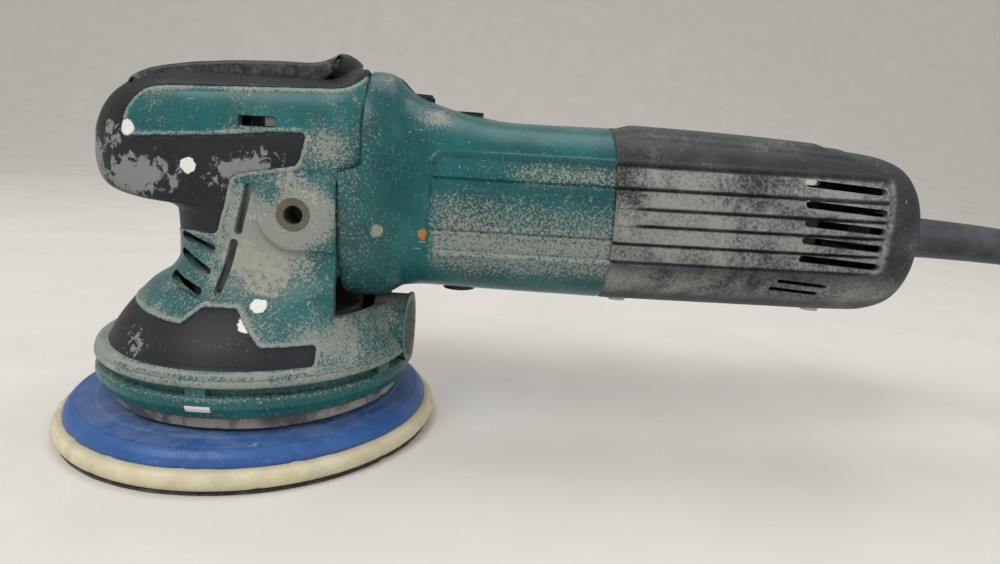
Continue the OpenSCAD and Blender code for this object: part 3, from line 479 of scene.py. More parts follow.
def make_object(name, points, faces, crease=35.0):
    mesh = bpy.data.meshes.new(name)
    mesh.from_pydata(np.asarray(points, float).tolist(), [], faces)
    mesh.validate()
    mesh.shade_smooth()
    mesh.set_sharp_from_angle(angle=math.radians(crease))
    made = bpy.data.objects.new(name, mesh)
    bpy.context.scene.collection.objects.link(made)
    return made


def skin(name, rings, closed=False, crease=35.0, flat_ends=False):
    """Solid between rings of the same number of points; closed joins the last ring to the first.

    An end is a fan about its middle, or one flat face if its outline bends inwards."""
    rings = np.asarray(rings, float)
    count, sides = rings.shape[:2]
    ahead = np.arange(count if closed else count - 1)[:, None]
    here = ahead * sides
    there = ((ahead + 1) % count) * sides
    j = np.arange(sides)[None, :]
    k = (j + 1) % sides
    faces = np.stack([here + j, here + k, there + k, there + j], -1).reshape(-1, 4).tolist()
    points = rings.reshape(-1, 3)
    end = (count - 1) * sides
    if flat_ends:
        faces += [list(range(sides))[::-1], list(range(end, end + sides))]
    elif not closed:
        points = np.vstack([points, rings[0].mean(0), rings[-1].mean(0)])
        first, last = count * sides, count * sides + 1
        faces += [[first, (i + 1) % sides, i] for i in range(sides)]
        faces += [[last, end + i, end + (i + 1) % sides] for i in range(sides)]
    return make_object(name, points, faces, crease)


def rounded_corners(points, radius, steps=5):
    """Closed outline with each corner turned into a short curve."""
    points = np.asarray(points, float)
    found = []
    for i in range(len(points)):
        here = points[i]
        before, after = points[i - 1] - here, points[(i + 1) % len(points)] - here
        a, b = np.linalg.norm(before), np.linalg.norm(after)
        start = here + before / a * min(radius, a * 0.45)
        end = here + after / b * min(radius, b * 0.45)
        for t in np.linspace(0, 1, steps):
            found.append((1 - t) ** 2 * start + 2 * t * (1 - t) * here + t * t * end)
    return np.array(found)


def lathe(name, profile, centre, radius=0.35 * MM, sides=240, wave=None, along="z", crease=35.0):
    """Ring or disc turned from a closed profile of (radius, height), anticlockwise, corners rounded."""
    outline = rounded_corners(profile, radius)
    rings = []
    for angle in np.arange(sides) * 2 * math.pi / sides:
        shape = outline if wave is None else wave(outline, angle)
        r, h = shape[:, 0], shape[:, 1]
        ring = np.stack([r * math.cos(angle), r * math.sin(angle), h], 1)
        rings.append(ring)
    rings = np.array(rings)[:, ::-1]
    if along == "x":
        rings = rings[..., [2, 0, 1]]
    return skin(name, rings + np.asarray(centre), closed=True, crease=crease)


def prism(name, outline, low, high, axis="y"):
    """Solid of an outline in the plane across the axis; the outline runs as x and z, or x and y."""
    outline = np.asarray(outline, float)
    x, z = outline[:, 0], outline[:, 1]
    area = np.sum(x * np.roll(z, -1) - np.roll(x, -1) * z)
    if (area > 0) == (axis == "y"):
        outline = outline[::-1]
    levels = []
    for place in (low, high):
        flat = np.full(len(outline), place)
        columns = [outline[:, 0], outline[:, 1]]
        columns.insert(1 if axis == "y" else 2, flat)
        levels.append(np.stack(columns, 1))
    return skin(name, levels)


def applied(piece):
    """Turns the piece's modifiers into its mesh."""
    seen = piece.evaluated_get(bpy.context.evaluated_depsgraph_get())
    mesh = bpy.data.meshes.new_from_object(seen)
    piece.modifiers.clear()
    piece.data = mesh
    return piece


def carve(piece, tool, operation="DIFFERENCE", keep=False):
    """Boolean of two closed solids; the tool is used up unless it is kept."""
    change = piece.modifiers.new("carve", "BOOLEAN")
    change.solver = "MANIFOLD"
    change.operation = operation
    change.object = tool
    applied(piece)
    if not keep:
        bpy.data.objects.remove(tool)
    return piece


def creased(piece, degrees=35.0):
    piece.data.shade_smooth()
    piece.data.set_sharp_from_angle(angle=math.radians(degrees))
    return piece


def coordinates(piece):
    found = np.zeros(len(piece.data.vertices) * 3)
    piece.data.vertices.foreach_get("co", found)
    return found.reshape(-1, 3)


def paint(piece, values):
    """Keeps how dusty each point is on the mesh, for the materials; on the backing plate it also holds a thin
    painted highlight ring.
    """
    layer = piece.data.attributes.new("dust", "FLOAT", "POINT")
    layer.data.foreach_set("value", np.clip(values, 0, 1).astype(np.float32))
    return piece


def dress(piece, material, body, *nodes, slot=None):
    """Gives a finished piece its material and body, and hides the CAD nodes it stands for; slot is not used."""
    piece.data.materials.clear()
    piece.data.materials.append(MATERIALS[material])
    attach(piece, body)
    if nodes:
        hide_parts(*nodes)
    return piece


def pchip(t, values, at):
    """Smooth curve through values at t that never overshoots them."""
    t, values = np.asarray(t, float), np.asarray(values, float)
    h = np.diff(t)[:, None]
    slope = np.diff(values, axis=0) / h
    tangent = np.zeros_like(values)
    a, b = slope[:-1], slope[1:]
    w1, w2 = 2 * h[1:] + h[:-1], h[1:] + 2 * h[:-1]
    with np.errstate(divide="ignore", invalid="ignore"):
        mean = (w1 + w2) / (w1 / a + w2 / b)
    tangent[1:-1] = np.where(a * b > 0, mean, 0)
    tangent[0], tangent[-1] = slope[0], slope[-1]
    at = np.asarray(at, float)
    i = np.clip(np.searchsorted(t, at) - 1, 0, len(t) - 2)
    step = h[i]
    s = ((at - t[i]) / step[:, 0])[:, None]
    return ((1 + 2 * s) * (1 - s) ** 2 * values[i] + s * (1 - s) ** 2 * step * tangent[i]
            + s * s * (3 - 2 * s) * values[i + 1] + s * s * (s - 1) * step * tangent[i + 1])


def even_ring(x, y, sides):
    """Closed outline resampled to points the same distance apart."""
    x, y = np.append(x, x[0]), np.append(y, y[0])
    run = np.concatenate([[0], np.cumsum(np.hypot(np.diff(x), np.diff(y)))])
    at = np.linspace(0, run[-1], sides, endpoint=False)
    return np.interp(at, run, x), np.interp(at, run, y)


ANGLES = np.linspace(0, 2 * math.pi, 1440, endpoint=False)


def squared(cosine, power):
    return np.sign(cosine) * np.abs(cosine) ** (2 / power)


def outline_distance(x, z, outline):
    """Distance of each point from a closed outline, less than 0 inside it."""
    outline = np.asarray(outline, float)
    best = np.full(len(x), 1e9)
    inside = np.zeros(len(x), bool)
    for a, b in zip(outline, np.roll(outline, -1, 0)):
        d = b - a
        t = np.clip(((x - a[0]) * d[0] + (z - a[1]) * d[1]) / max(d @ d, 1e-18), 0, 1)
        best = np.minimum(best, np.hypot(x - a[0] - t * d[0], z - a[1] - t * d[1]))
        if a[1] != b[1]:
            cross = ((a[1] > z) != (b[1] > z)) & (x < (b[0] - a[0]) * (z - a[1]) / (b[1] - a[1]) + a[0])
            inside ^= cross
    return np.where(inside, -best, best)


# ---------- head ----------

# Level sections of the head, as in the CAD: height, front, widest place, rear, half width, in mm,
# and how square the front and the rear are
HEAD = np.array([
    [37, -53.5, 2.7, 63, 60, 2, 2], [44, -49.7, 2.7, 59, 56, 2, 2], [51, -44.5, 2.7, 56, 50, 2, 2.2],
    [58, -38, 3, 57, 42, 2.1, 3], [64, -29.5, 4, 60, 36.5, 2.2, 5], [70, -25.8, 4, 60, 34, 2.3, 7],
    [79, -25.7, 4, 60, 33, 2.3, 7], [87, -26, 2, 60, 32.5, 2.3, 7],
    [89.6, -30, -4, 60, 32, 2.3, 7], [91.2, -42.5, -14, 60, 31.8, 2.3, 7],
    [94, -51.5, -20, 60, 31.5, 2.3, 7], [99, -55.6, -23, 60, 31.2, 2.3, 7],
    [106, -56.8, -24, 60, 31, 2.3, 7], [114, -56.3, -24, 60, 30.6, 2.3, 7],
    [121, -54, -23, 60, 30, 2.3, 7], [127, -50, -22, 60, 28.8, 2.3, 7],
    [132, -44, -20, 60, 26.5, 2.3, 7], [135, -38.5, -18, 60, 24, 2.3, 7],
    [137, -33, -16, 60, 21.5, 2.3, 7],
])
# Side views of the rubber on the head and of the band round the bell, as x and z in mm
GRIP = rounded_corners([
    [28.6, 117.8], [25.5, 106], [4, 102.4], [1.3, 100], [0, 92], [-3, 80], [-14.5, 80.8], [-40, 77],
    [-70, 77], [-70, 150], [49, 150], [49, 139.5], [45, 135.8], [40, 133.8], [-21, 131.4],
    [-28, 130.3], [-32.5, 126.7], [-35.8, 121.3], [-37, 113], [-6.4, 114.8], [16.7, 117.3],
], 2.5) * MM
BAND = rounded_corners([
    [-70, 38], [36, 38], [36, 44.5], [18, 45], [8, 56], [-4, 56], [-10, 50.5], [-40, 52.5], [-70, 54],
], 1.6) * MM
# Side view of what belongs to the head rather than to the motor housing
HEAD_SIDE = rounded_corners([
    [-80, 36], [90, 36], [90, 52], [39.7, 52], [39.7, 105], [48.2, 108], [48.2, 160], [-80, 160],
], 1.2) * MM
SKIN = 2 * MM
WALL = 4 * MM
HANDLE = Vector(next(m for m in RECORD["mounts"] if m["name"] == "side_handle_left")["pos_m"])
HANDLE_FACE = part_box("handle_inserts")[1].y + 0.1 * MM
LEVER_OVERHANG = 4 * MM               # how much further out the paddle's edges reach than its CAD core


def head_rings(rings, sides, inset=0.0):
    """Level rings of the head, moved in by inset all round."""
    table = HEAD.copy()
    table[:, :5] *= MM
    run = np.concatenate([[0], np.cumsum(np.hypot(np.diff(table[:, 0]), np.diff(table[:, 1])))])
    found = []
    sections = pchip(run, table, np.linspace(0, run[-1], rings))
    for z, front, wide, rear, half, square_front, square_rear in sections:
        if inset:
            z += inset if 86 * MM < z < 100 * MM else -inset if z > 120 * MM else 0.0
        c, s = np.cos(ANGLES), np.sin(ANGLES)
        power = np.where(c > 0, square_rear, square_front)
        reach = np.where(c > 0, rear - wide, wide - front) - inset
        x, y = even_ring(wide + reach * squared(c, power), (half - inset) * squared(s, power), sides)
        found.append(np.stack([x, y, np.full(sides, z)], 1))
    return np.array(found)


def head_relief(points):
    """Shape on the outside of the head: raised handle face, lips round the rubber, seam edge."""
    shape = points.shape
    x, y, z = points.reshape(-1, 3).T.copy()
    # The top rises to meet the motor housing
    z = z + smoothstep(z, 118 * MM, 137 * MM) * smoothstep(x, 34 * MM, 46 * MM) * 4.3 * MM
    # Flat face round the handle's thread, straight towards the seam
    from_face = np.where(x < HANDLE.x, np.hypot(x - HANDLE.x, z - HANDLE.z), np.abs(z - HANDLE.z))
    raised = smoothstep(from_face, 14.2 * MM, 12.4 * MM)
    side = np.where(y < 0, -1, 1)
    far = np.abs(y) > 22 * MM
    y = np.where(far, side * np.maximum(np.abs(y), np.abs(y) + (HANDLE_FACE - np.abs(y)) * raised), y)
    # Lip on the plastic along the rubber, and softened seam
    wide = np.abs(y) > 12 * MM
    grip, band = outline_distance(x, z, GRIP), outline_distance(x, z, BAND)
    lip = np.zeros(len(x))
    for gap in (grip, band):
        lip += 0.45 * MM * np.exp(-((gap - 0.8 * MM) / (0.55 * MM)) ** 2) * (gap > -0.05 * MM)
        lip -= 0.35 * MM * smoothstep(-gap, 0.9 * MM, 0.0) * (gap <= 0)
    seam = -outline_distance(x, z, HEAD_SIDE)
    lip -= 0.5 * MM * smoothstep(seam, 1.1 * MM, 0.0) * (x > 30 * MM)
    centre = np.clip(x, -20 * MM, 30 * MM)
    out = np.stack([x - centre, y], 1)
    out /= np.maximum(np.linalg.norm(out, axis=1), 1e-9)[:, None]
    move = np.where(wide | (z < 60 * MM), lip, 0.0)
    x, y = x + out[:, 0] * move, y + out[:, 1] * move
    return np.stack([x, y, z], 1).reshape(shape)


def slot_outline(start, end, width):
    """Long hole with round ends between two points."""
    start, end = np.asarray(start, float), np.asarray(end, float)
    angle = math.atan2(*(end - start)[::-1])
    half = width / 2
    turn = np.linspace(math.pi / 2, 3 * math.pi / 2, 7)
    ends = [start + half * np.array([math.cos(a + angle), math.sin(a + angle)]) for a in turn]
    ends += [end + half * np.array([math.cos(a + angle), math.sin(a + angle)]) for a in turn + math.pi]
    return np.array(ends) * MM


HEAD_SLOTS = [
    ((8.2, 97.6), (4.8, 82), 3.0), ((3.3, 77.5), (-0.7, 60.9), 3.0),
    ((-17.4, 78.4), (-5, 74.9), 3.2), ((-17.6, 71.8), (-6.4, 66.6), 3.2), ((-20.7, 63.2), (-8, 59.7), 3.2),
]


def cut_openings(piece, handle=True):
    """Openings through the head's sides."""
    for start, end, width in HEAD_SLOTS:
        carve(piece, prism("tool", slot_outline(start, end, width), -60 * MM, 60 * MM))
    low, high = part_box("lock_slider")
    window = [[low.x - 9.3 * MM, low.z - 0.3 * MM], [high.x + 0.4 * MM, low.z - 0.3 * MM],
              [high.x + 0.4 * MM, high.z + 0.3 * MM], [low.x - 9.3 * MM, high.z + 0.3 * MM]]
    carve(piece, prism("tool", rounded_corners(window, 0.5 * MM), -50 * MM, 50 * MM))
    low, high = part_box("paddle_lever")
    side = LEVER_OVERHANG + 0.6 * MM
    start = low.x - 0.9 * MM
    pocket = [[start, low.y - side], [high.x + 4.5 * MM, low.y - side],
              [high.x + 4.5 * MM, high.y + side], [start, high.y + side]]
    carve(piece, prism("tool", rounded_corners(pocket, 5 * MM, 8), 127 * MM, 170 * MM, "z"))
    if handle:
        hole = [[HANDLE.x + 4.9 * MM * math.cos(a), HANDLE.z + 4.9 * MM * math.sin(a)]
                for a in np.linspace(0, 2 * math.pi, 48, endpoint=False)]
        carve(piece, prism("tool", hole, -70 * MM, 70 * MM))
        chamfer = 6.2 * MM
        for side in (-1, 1):
            rings = [[[HANDLE.x + r * math.cos(a), side * y, HANDLE.z + r * math.sin(a)]
                      for a in np.linspace(0, 2 * math.pi, 48, endpoint=False)]
                     for r, y in ((4.8 * MM, HANDLE_FACE - 1.4 * MM), (chamfer, HANDLE_FACE + 0.05 * MM),
                                  (chamfer, HANDLE_FACE + 3 * MM))]
            rings = np.array(rings)
            if side > 0:
                rings = rings[:, ::-1]
            carve(piece, skin("tool", rings))
    return piece


def flange_ring():
    """Round shelf that closes the bottom of the head."""
    r = FLANGE_R
    profile = [[54.8 * MM, 32.2 * MM], [r - 0.8 * MM, 32.2 * MM], [r, 33 * MM], [r, 34.4 * MM],
               [r - 0.7 * MM, 34.9 * MM], [r - 0.3 * MM, 35.6 * MM], [r - 1 * MM, 37 * MM],
               [r - 3 * MM, 37.9 * MM], [54.8 * MM, 38.4 * MM]]
    return lathe("tool", profile, (AXIS_X, 0, 0), 0.5 * MM, 288)


def dust_on_head(points):
    """How dusty the head is: caked under the grip and round the handle's face, clean on the inlay."""
    x, y, z = points.T / MM
    slope = np.exp(-(((x - 12) / 20) ** 2 + ((z - 78) / 17) ** 2)) * (y < 0)
    face = np.exp(-(np.hypot(x - 29, z - 89) / 13) ** 4) * (np.abs(y) > 33) * 0.9
    shoulder = np.exp(-(((x - 36) / 12) ** 2 + ((z - 113) / 9) ** 2)) * 0.6
    bell = smoothstep(z, 66, 44) * 0.35 + np.exp(-((z - 33) / 3.0) ** 2) * 0.3
    lips = np.zeros(len(x))
    for outline in (GRIP, BAND):
        gap = outline_distance(points[:, 0], points[:, 2], outline) / MM
        lips = np.maximum(lips, np.exp(-((gap - 0.9) / 0.7) ** 2) * (gap > 0))
    clean = 1 - 0.75 * np.exp(-(((x + 2) / 26) ** 2 + ((z - 124) / 8) ** 2))
    return (np.maximum.reduce([slope, face, shoulder, bell, 0.85 * lips]) + 0.08) * clean


def dust_on_grip(points):
    """Crusts where compound dried: the nose, and a band along the grip's side."""
    x, y, z = points.T / MM
    side = np.exp(-(((z - 102 - 0.09 * (x + 5)) / 7.5) ** 2)) * smoothstep(np.abs(y), 20, 28)
    side *= smoothstep(x, 30, 8) * (0.72 + 0.36 * np.sin(x / 7.0))
    nose = np.exp(-(((x + 54) / 10) ** 2 + ((z - 104) / 15) ** 2)) * smoothstep(y, 25, -10) * 1.15
    corner = np.exp(-(((x + 41) / 6) ** 2 + ((z - 113) / 6) ** 2)) * 0.7
    return np.maximum.reduce([side, nose, corner])


def dust_on_band(points):
    x, y, z = points.T / MM
    return np.exp(-(((x + 27) / 6) ** 2 + ((z - 43) / 4) ** 2)) * (y < 0) * 0.6 + 0.05


def build_head():
    base = head_relief(head_rings(170, 560))
    under = head_rings(90, 180, SKIN)
    inner = head_rings(60, 120, WALL)
    inner[0, :, 2] -= 1.5 * MM

    casing = skin("head_casing_shell", base)
    carve(casing, prism("tool", HEAD_SIDE, -90 * MM, 90 * MM), "INTERSECT")
    reach = 90 * MM
    for name, outline in (("grip_bed", GRIP), ("band_bed", BAND)):
        bed = prism(name, outline, -reach, reach)
        carve(bed, skin("under", under))
        carve(casing, bed)
    carve(casing, flange_ring(), "UNION")
    carve(casing, skin("tool", inner))
    carve(casing, cylinder("tool", (AXIS_X, 0), 54.8 * MM, 30 * MM, 38.6 * MM))
    spout = SPOUT_R + 0.6 * MM
    carve(casing, cylinder_x("tool", spout, 30 * MM, 90 * MM, SPOUT_Z))
    cut_openings(casing)
    paint(casing, dust_on_head(coordinates(casing)))
    dress(creased(casing), "head_teal", "machine", "head_casing")

    grip = skin("head_grip", base)
    carve(grip, prism("tool", inset_outline(GRIP, 0.18 * MM), -reach, reach), "INTERSECT")
    carve(grip, prism("tool", HEAD_SIDE, -reach, reach), "INTERSECT")
    carve(grip, skin("tool", under))
    cut_openings(grip, handle=False)
    paint(grip, dust_on_grip(coordinates(grip)))
    dress(creased(grip), "grip_rubber", "machine", "front_grip")

    band = skin("bell_band", base)
    carve(band, prism("tool", inset_outline(BAND, 0.18 * MM), -reach, reach), "INTERSECT")
    carve(band, skin("tool", under))
    carve(band, cylinder_x("tool", SPOUT_R + 2 * MM, 30 * MM, 90 * MM, SPOUT_Z))
    paint(band, dust_on_band(coordinates(band)))
    dress(creased(band), "grip_rubber", "machine", "lower_band")


def inset_outline(outline, gap):
    """Outline moved in by gap."""
    outline = np.asarray(outline, float)
    along = np.roll(outline, -1, 0) - np.roll(outline, 1, 0)
    along /= np.maximum(np.linalg.norm(along, axis=1), 1e-9)[:, None]
    x, z = outline.T
    area = np.sum(x * np.roll(z, -1) - np.roll(x, -1) * z)
    left = np.stack([-along[:, 1], along[:, 0]], 1) * (1 if area > 0 else -1)
    return outline + left * gap


def cylinder(name, centre, radius, low, high, sides=192):
    turn = np.arange(sides) * 2 * math.pi / sides
    ring = np.stack([centre[0] + radius * np.cos(turn), centre[1] + radius * np.sin(turn)], 1)
    return skin(name, [np.column_stack([ring, np.full(sides, z)]) for z in (low, high)])


def cylinder_x(name, radius, low, high, z, sides=128):
    turn = np.arange(sides) * 2 * math.pi / sides
    y, up = radius * np.cos(turn), z + radius * np.sin(turn)
    return skin(name, [np.column_stack([np.full(sides, x), y, up]) for x in (low, high)])


SPOUT = next(m for m in RECORD["mounts"] if m["name"] == "dust_spout")
SPOUT_Z = SPOUT["pos_m"][2]
SPOUT_BORE = SPOUT["dims"]["r_mm"] * MM
SPOUT_R = SPOUT_BORE + 2 * MM

build_head()


# ---------- motor housing and rear cover ----------

# Upright sections, as in the CAD: place, top, bottom, half width, in mm, and roundness
BARREL = np.array([
    [40, 141, 54.6, 33.5, 2.6], [50, 142, 54.6, 33.5, 2.6], [56, 141.5, 56, 33.4, 2.5],
    [63, 136, 59.5, 33.2, 2.4], [72, 131.5, 60.2, 33, 2.4], [82, 129, 60, 33, 2.4],
    [104, 126, 59.5, 33, 2.4], [140, 126.2, 58.9, 33.2, 2.4],
])
COVER = np.array([
    [140, 126.4, 58.8, 33.4, 2.4], [183, 125.4, 58.8, 33, 2.4], [222, 123.6, 58.8, 32.4, 2.4],
    [243, 122, 59.2, 31.4, 2.4], [252.5, 119.5, 61.5, 29, 2.4], [257, 115.5, 65.5, 25.5, 2.3],
    [258.5, 111.5, 69.5, 22, 2.2],
])
LINES = (113, 105, 86, 78)            # heights of the lines along the barrel's panel, in mm
RIBS = (113, 105, 98, 91.8, 85, 78)   # and along the cover's
PANEL_END = 243
VENT_FROM = 209


def upright_rings(table, rings, sides, inset=0.0, stretch=0.0):
    """Upright rings of a tube given by its sections, moved in by inset all round."""
    table = table.copy()
    table[:, :4] *= MM
    reach = np.concatenate([[0], np.cumsum(np.hypot(np.diff(table[:, 0]), np.diff(table[:, 1])))])
    found = []
    for x, top, bottom, half, power in pchip(reach, table, np.linspace(0, reach[-1], rings)):
        c, s = np.cos(ANGLES), np.sin(ANGLES)
        tall = (top - bottom) / 2 - inset
        y, z = even_ring((half - inset) * squared(c, power), tall * squared(s, power), sides)
        found.append(np.stack([np.full(sides, x), y, z + (top + bottom) / 2], 1))
    found = np.array(found)
    found[0, :, 0] -= stretch
    return found


def pushed(rings, amount):
    """Upright rings moved outward by amount, square to their own outline."""
    along = np.roll(rings, -1, 1) - np.roll(rings, 1, 1)
    along /= np.linalg.norm(along, axis=2)[..., None]
    return rings + np.stack([np.zeros_like(amount), along[..., 2], -along[..., 1]], -1) * amount[..., None]


def groove(distance, width, depth):
    return -depth * np.exp(-(distance / (width / 2)) ** 4)


def barrel_relief(rings):
    """Sunk side panels crossed by lines, a soft edge at both seams, and mould lines."""
    x, y, z = (rings[..., k] / MM for k in range(3))
    side = smoothstep(np.abs(y), 18, 22)
    low, high = LINES[-1], LINES[0]
    middle, tall = (low + high) / 2, (high - low) / 2
    corner = 4.0
    dx = (72 + corner + 0.06 * (z - low)) - x
    dz = np.abs(z - middle) - (tall - corner)
    gap = np.hypot(np.maximum(dx, 0), np.maximum(dz, 0)) + np.minimum(np.maximum(dx, dz), 0) - corner
    amount = -0.75 * smoothstep(gap, 0.3, -0.5) * side
    amount += groove(gap, 0.9, 0.45) * side
    amount += 0.35 * np.exp(-((gap - 1.1) / 0.7) ** 2) * side
    inside = smoothstep(gap, 0.2, -0.6) * side
    for height in LINES[1:-1]:
        amount += groove(z - height, 1.0, 0.8) * inside
        amount += 0.25 * np.exp(-((z - height + 1.1) / 0.6) ** 2) * inside
    amount -= 0.5 * smoothstep(x, 138.9, 140) + 0.5 * smoothstep(x, 41, 40)
    amount += groove(y, 0.7, 0.35) * (x > 66)
    return pushed(rings, amount * MM)


def cover_relief(rings):
    """Slats along both sides, sunk round the vents, and two raised fields on top."""
    x, y, z = (rings[..., k] / MM for k in range(3))
    side = smoothstep(np.abs(y), 17, 21)
    low, high = RIBS[-1], RIBS[0]
    middle, tall = (low + high) / 2, (high - low) / 2
    corner = 5.0
    dx = x - (PANEL_END - corner - 0.10 * (high - z))
    dz = np.abs(z - middle) - (tall - corner)
    gap = np.hypot(np.maximum(dx, 0), np.maximum(dz, 0)) + np.minimum(np.maximum(dx, dz), 0) - corner
    inside = smoothstep(gap, 0.1, -0.7) * side
    amount = 0.30 * inside + groove(gap, 1.2, 0.9) * side + 0.3 * np.exp(-((gap - 1.3) / 0.7) ** 2) * side
    vents = smoothstep(x, VENT_FROM - 4, VENT_FROM - 1) * smoothstep(x, 242, 240.5)
    for upper, lower in zip(RIBS, RIBS[1:]):
        share = np.clip((upper - z) / (upper - lower), 0, 1)
        here = (z <= upper) & (z > lower)
        amount += here * inside * (0.55 * (share - 0.5) - vents * 0.8 * (1 - share))
    for height in RIBS[1:-1]:
        start = 148 if height in RIBS[2:4] else 138
        amount += groove(z - height, 1.1, 1.1) * inside * smoothstep(x, start - 3, start + 3)
    across = np.abs(y)
    top = z > 100
    amount += 1.0 * smoothstep(x, 224.5, 221) * smoothstep(across, 15, 12.5) * top * smoothstep(x, 142, 150)
    amount += 0.7 * smoothstep(x, 233.7, 230.5) * smoothstep(across, 19, 16.5) * top * smoothstep(x, 142, 150)
    for place in (0, 5.5):
        amount += groove(across - place, 0.9, 0.7) * top * (x < 221) * (x > 144)
    lower_field = np.exp(-((z - 71) / 4.5) ** 4) * np.exp(-((x - 215) / 17) ** 6) * side
    amount -= 0.5 * lower_field
    amount -= 0.5 * smoothstep(x, 141.2, 140)
    amount += groove(y, 0.7, 0.35) * (z < 100)
    return pushed(rings, amount * MM)


def dust_on_barrel(points):
    """Compound dried onto the lower panel, the slope and the belly."""
    x, y, z = points.T / MM
    front = smoothstep(-y, 5, 20)
    panel = smoothstep(x, 70, 76) * np.exp(-((z - 86) / 15) ** 4) * (0.45 + 0.3 * smoothstep(z, 92, 80))
    upper = smoothstep(x, 88, 112) * np.exp(-((z - 108) / 4.5) ** 2) * 0.55
    belly = smoothstep(x, 72, 84) * np.exp(-((z - 74) / 5) ** 2) * 0.6
    slope = np.exp(-(((x - 74) / 7) ** 2 + ((z - 126) / 4) ** 2)) * 0.8
    near = smoothstep(x, 66, 42) * 0.30
    crown = np.exp(-((x - 56) / 6) ** 2) * smoothstep(z, 134, 140) * 0.7
    return np.maximum.reduce([panel, upper, belly, slope, near, crown]) * (0.35 + 0.65 * front)


def dust_on_cover(points):
    """Grey on the slats; the grooves are left bare as painted shade, and the rounded end is dark."""
    x, y, z = points.T / MM
    side = smoothstep(np.abs(y), 19, 25)
    panel = smoothstep(z, 77, 79.5) * smoothstep(z, 113.6, 112) * smoothstep(x, 244, 241)
    # Each groove is kept free of dust, so it shows black: painted shade under each slat.
    lines = np.ones(len(x))
    for height in RIBS:
        start = 148 if height in RIBS[2:4] else 138
        lines *= 1 - np.exp(-((z - height) / 0.75) ** 4) * smoothstep(x, start - 3, start + 3)
    rim = np.exp(-((x - 243.4 + 0.1 * (113 - z)) / 1.1) ** 2)
    rim *= smoothstep(z, 76, 80) * smoothstep(z, 115, 111)
    top = smoothstep(z, 117, 124) * 0.12
    belly = np.exp(-((z - 69) / 7) ** 2) * 0.85
    return np.maximum.reduce([side * panel * lines * 0.95, side * rim, top, belly * side]) + 0.06


def build_motor_housing():
    barrel = skin("motor_housing_shell", barrel_relief(upright_rings(BARREL, 120, 620)))
    carve(barrel, cylinder_x("tool", 29.6 * MM, 38 * MM, 142 * MM, MOTOR_Z))
    front = BARREL[:4].copy()
    front[-1, 0] = 45.2
    front[1:3, 0] = 42, 44
    front[1:] = np.column_stack([front[1:, 0], np.tile(BARREL[0, 1:], (3, 1))])
    carve(barrel, skin("tool", upright_rings(front, 3, 120, 3 * MM, 2 * MM)))
    step = rounded_corners([[30, 104.7], [40, 104.7], [48.5, 107.7], [48.5, 160], [30, 160]], 1.2) * MM
    carve(barrel, prism("tool", step, -90 * MM, 90 * MM))
    knob = joint_point("mode_turn")
    carve(barrel, cylinder("tool", (knob.x, 0), 9.6 * MM, 128.3 * MM, 160 * MM))
    carve(barrel, cylinder("tool", (knob.x, 0), 4.15 * MM, 110 * MM, 140 * MM))
    low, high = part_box("brush_caps")
    cap_r = high.y + 0.12 * MM
    carve(barrel, cylinder("tool", ((low.x + high.x) / 2, 0), cap_r, 40 * MM, 150 * MM))
    paint(barrel, dust_on_barrel(coordinates(barrel)))
    dress(creased(barrel), "teal_plastic", "machine", "motor_housing")


def build_rear_cover():
    cover = skin("rear_cover_shell", cover_relief(upright_rings(COVER, 130, 640)))
    inner = upright_rings(COVER, 40, 120, 3 * MM, 1 * MM)
    inner[..., 0] = np.minimum(inner[..., 0], 255.5 * MM)
    carve(cover, skin("tool", inner[:38]))
    vent_width = 2.7
    for upper, lower in zip(RIBS, RIBS[1:]):
        middle = upper - 0.42 * (upper - lower)
        vent = slot_outline((VENT_FROM + 2, middle + 0.9), (239.5, middle - 0.9), vent_width)
        carve(cover, prism("tool", vent, -60 * MM, 60 * MM))
    for start, end in (((205, 73.6), (223, 72.2)), ((203, 70.2), (221, 68.9))):
        carve(cover, prism("tool", slot_outline(start, end, 1.5), -60 * MM, 60 * MM))
    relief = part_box("strain_relief")
    hole = relief[1].y + 0.4 * MM
    carve(cover, cylinder_x("tool", hole, 240 * MM, 270 * MM, RELIEF[0][2]))
    low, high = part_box("speed_dial")
    window = 0.4 * MM
    outline = [[low.x - window, 18 * MM], [high.x + window, 18 * MM], [high.x + window, 40 * MM],
               [low.x - window, 40 * MM]]
    carve(cover, prism("tool", outline, 72.2 * MM, 76.8 * MM, "z"))
    for screw_x in (150, 232):
        carve(cover, cylinder("tool", (screw_x * MM, 0), 3.8 * MM, 50 * MM, 60.4 * MM, 48))
        carve(cover, cylinder("tool", (screw_x * MM, 0), 2.3 * MM, 50 * MM, 70 * MM, 48))
    paint(cover, dust_on_cover(coordinates(cover)))
    dress(creased(cover), "black_plastic", "machine", "rear_cover")


# ---------- lever ----------

def rounded_bar(name, outline, half, edge, crown):
    """Bar of a side outline across the object, with round side edges and a crowned top."""
    outline = np.asarray(outline, float)
    turn = np.linspace(0, math.pi / 2, 6)
    outer = [(half - edge + edge * math.sin(t), edge * (1 - math.cos(t))) for t in turn]
    flat_part = np.linspace(-1, 1, 9)[1:-1] * (half - edge)
    stations = [(-y, e) for y, e in outer[::-1]] + [(y, 0.0) for y in flat_part] + outer
    x, z = outline.T
    if np.sum(x * np.roll(z, -1) - np.roll(x, -1) * z) > 0:
        outline = outline[::-1]
    rings = []
    for y, inset in stations:
        flat = inset_outline(outline, inset) if inset else outline
        drop = crown * (y / half) ** 2
        rings.append(np.stack([flat[:, 0], np.full(len(flat), y), flat[:, 1] - drop], 1))
    return skin(name, rings, flat_ends=True)


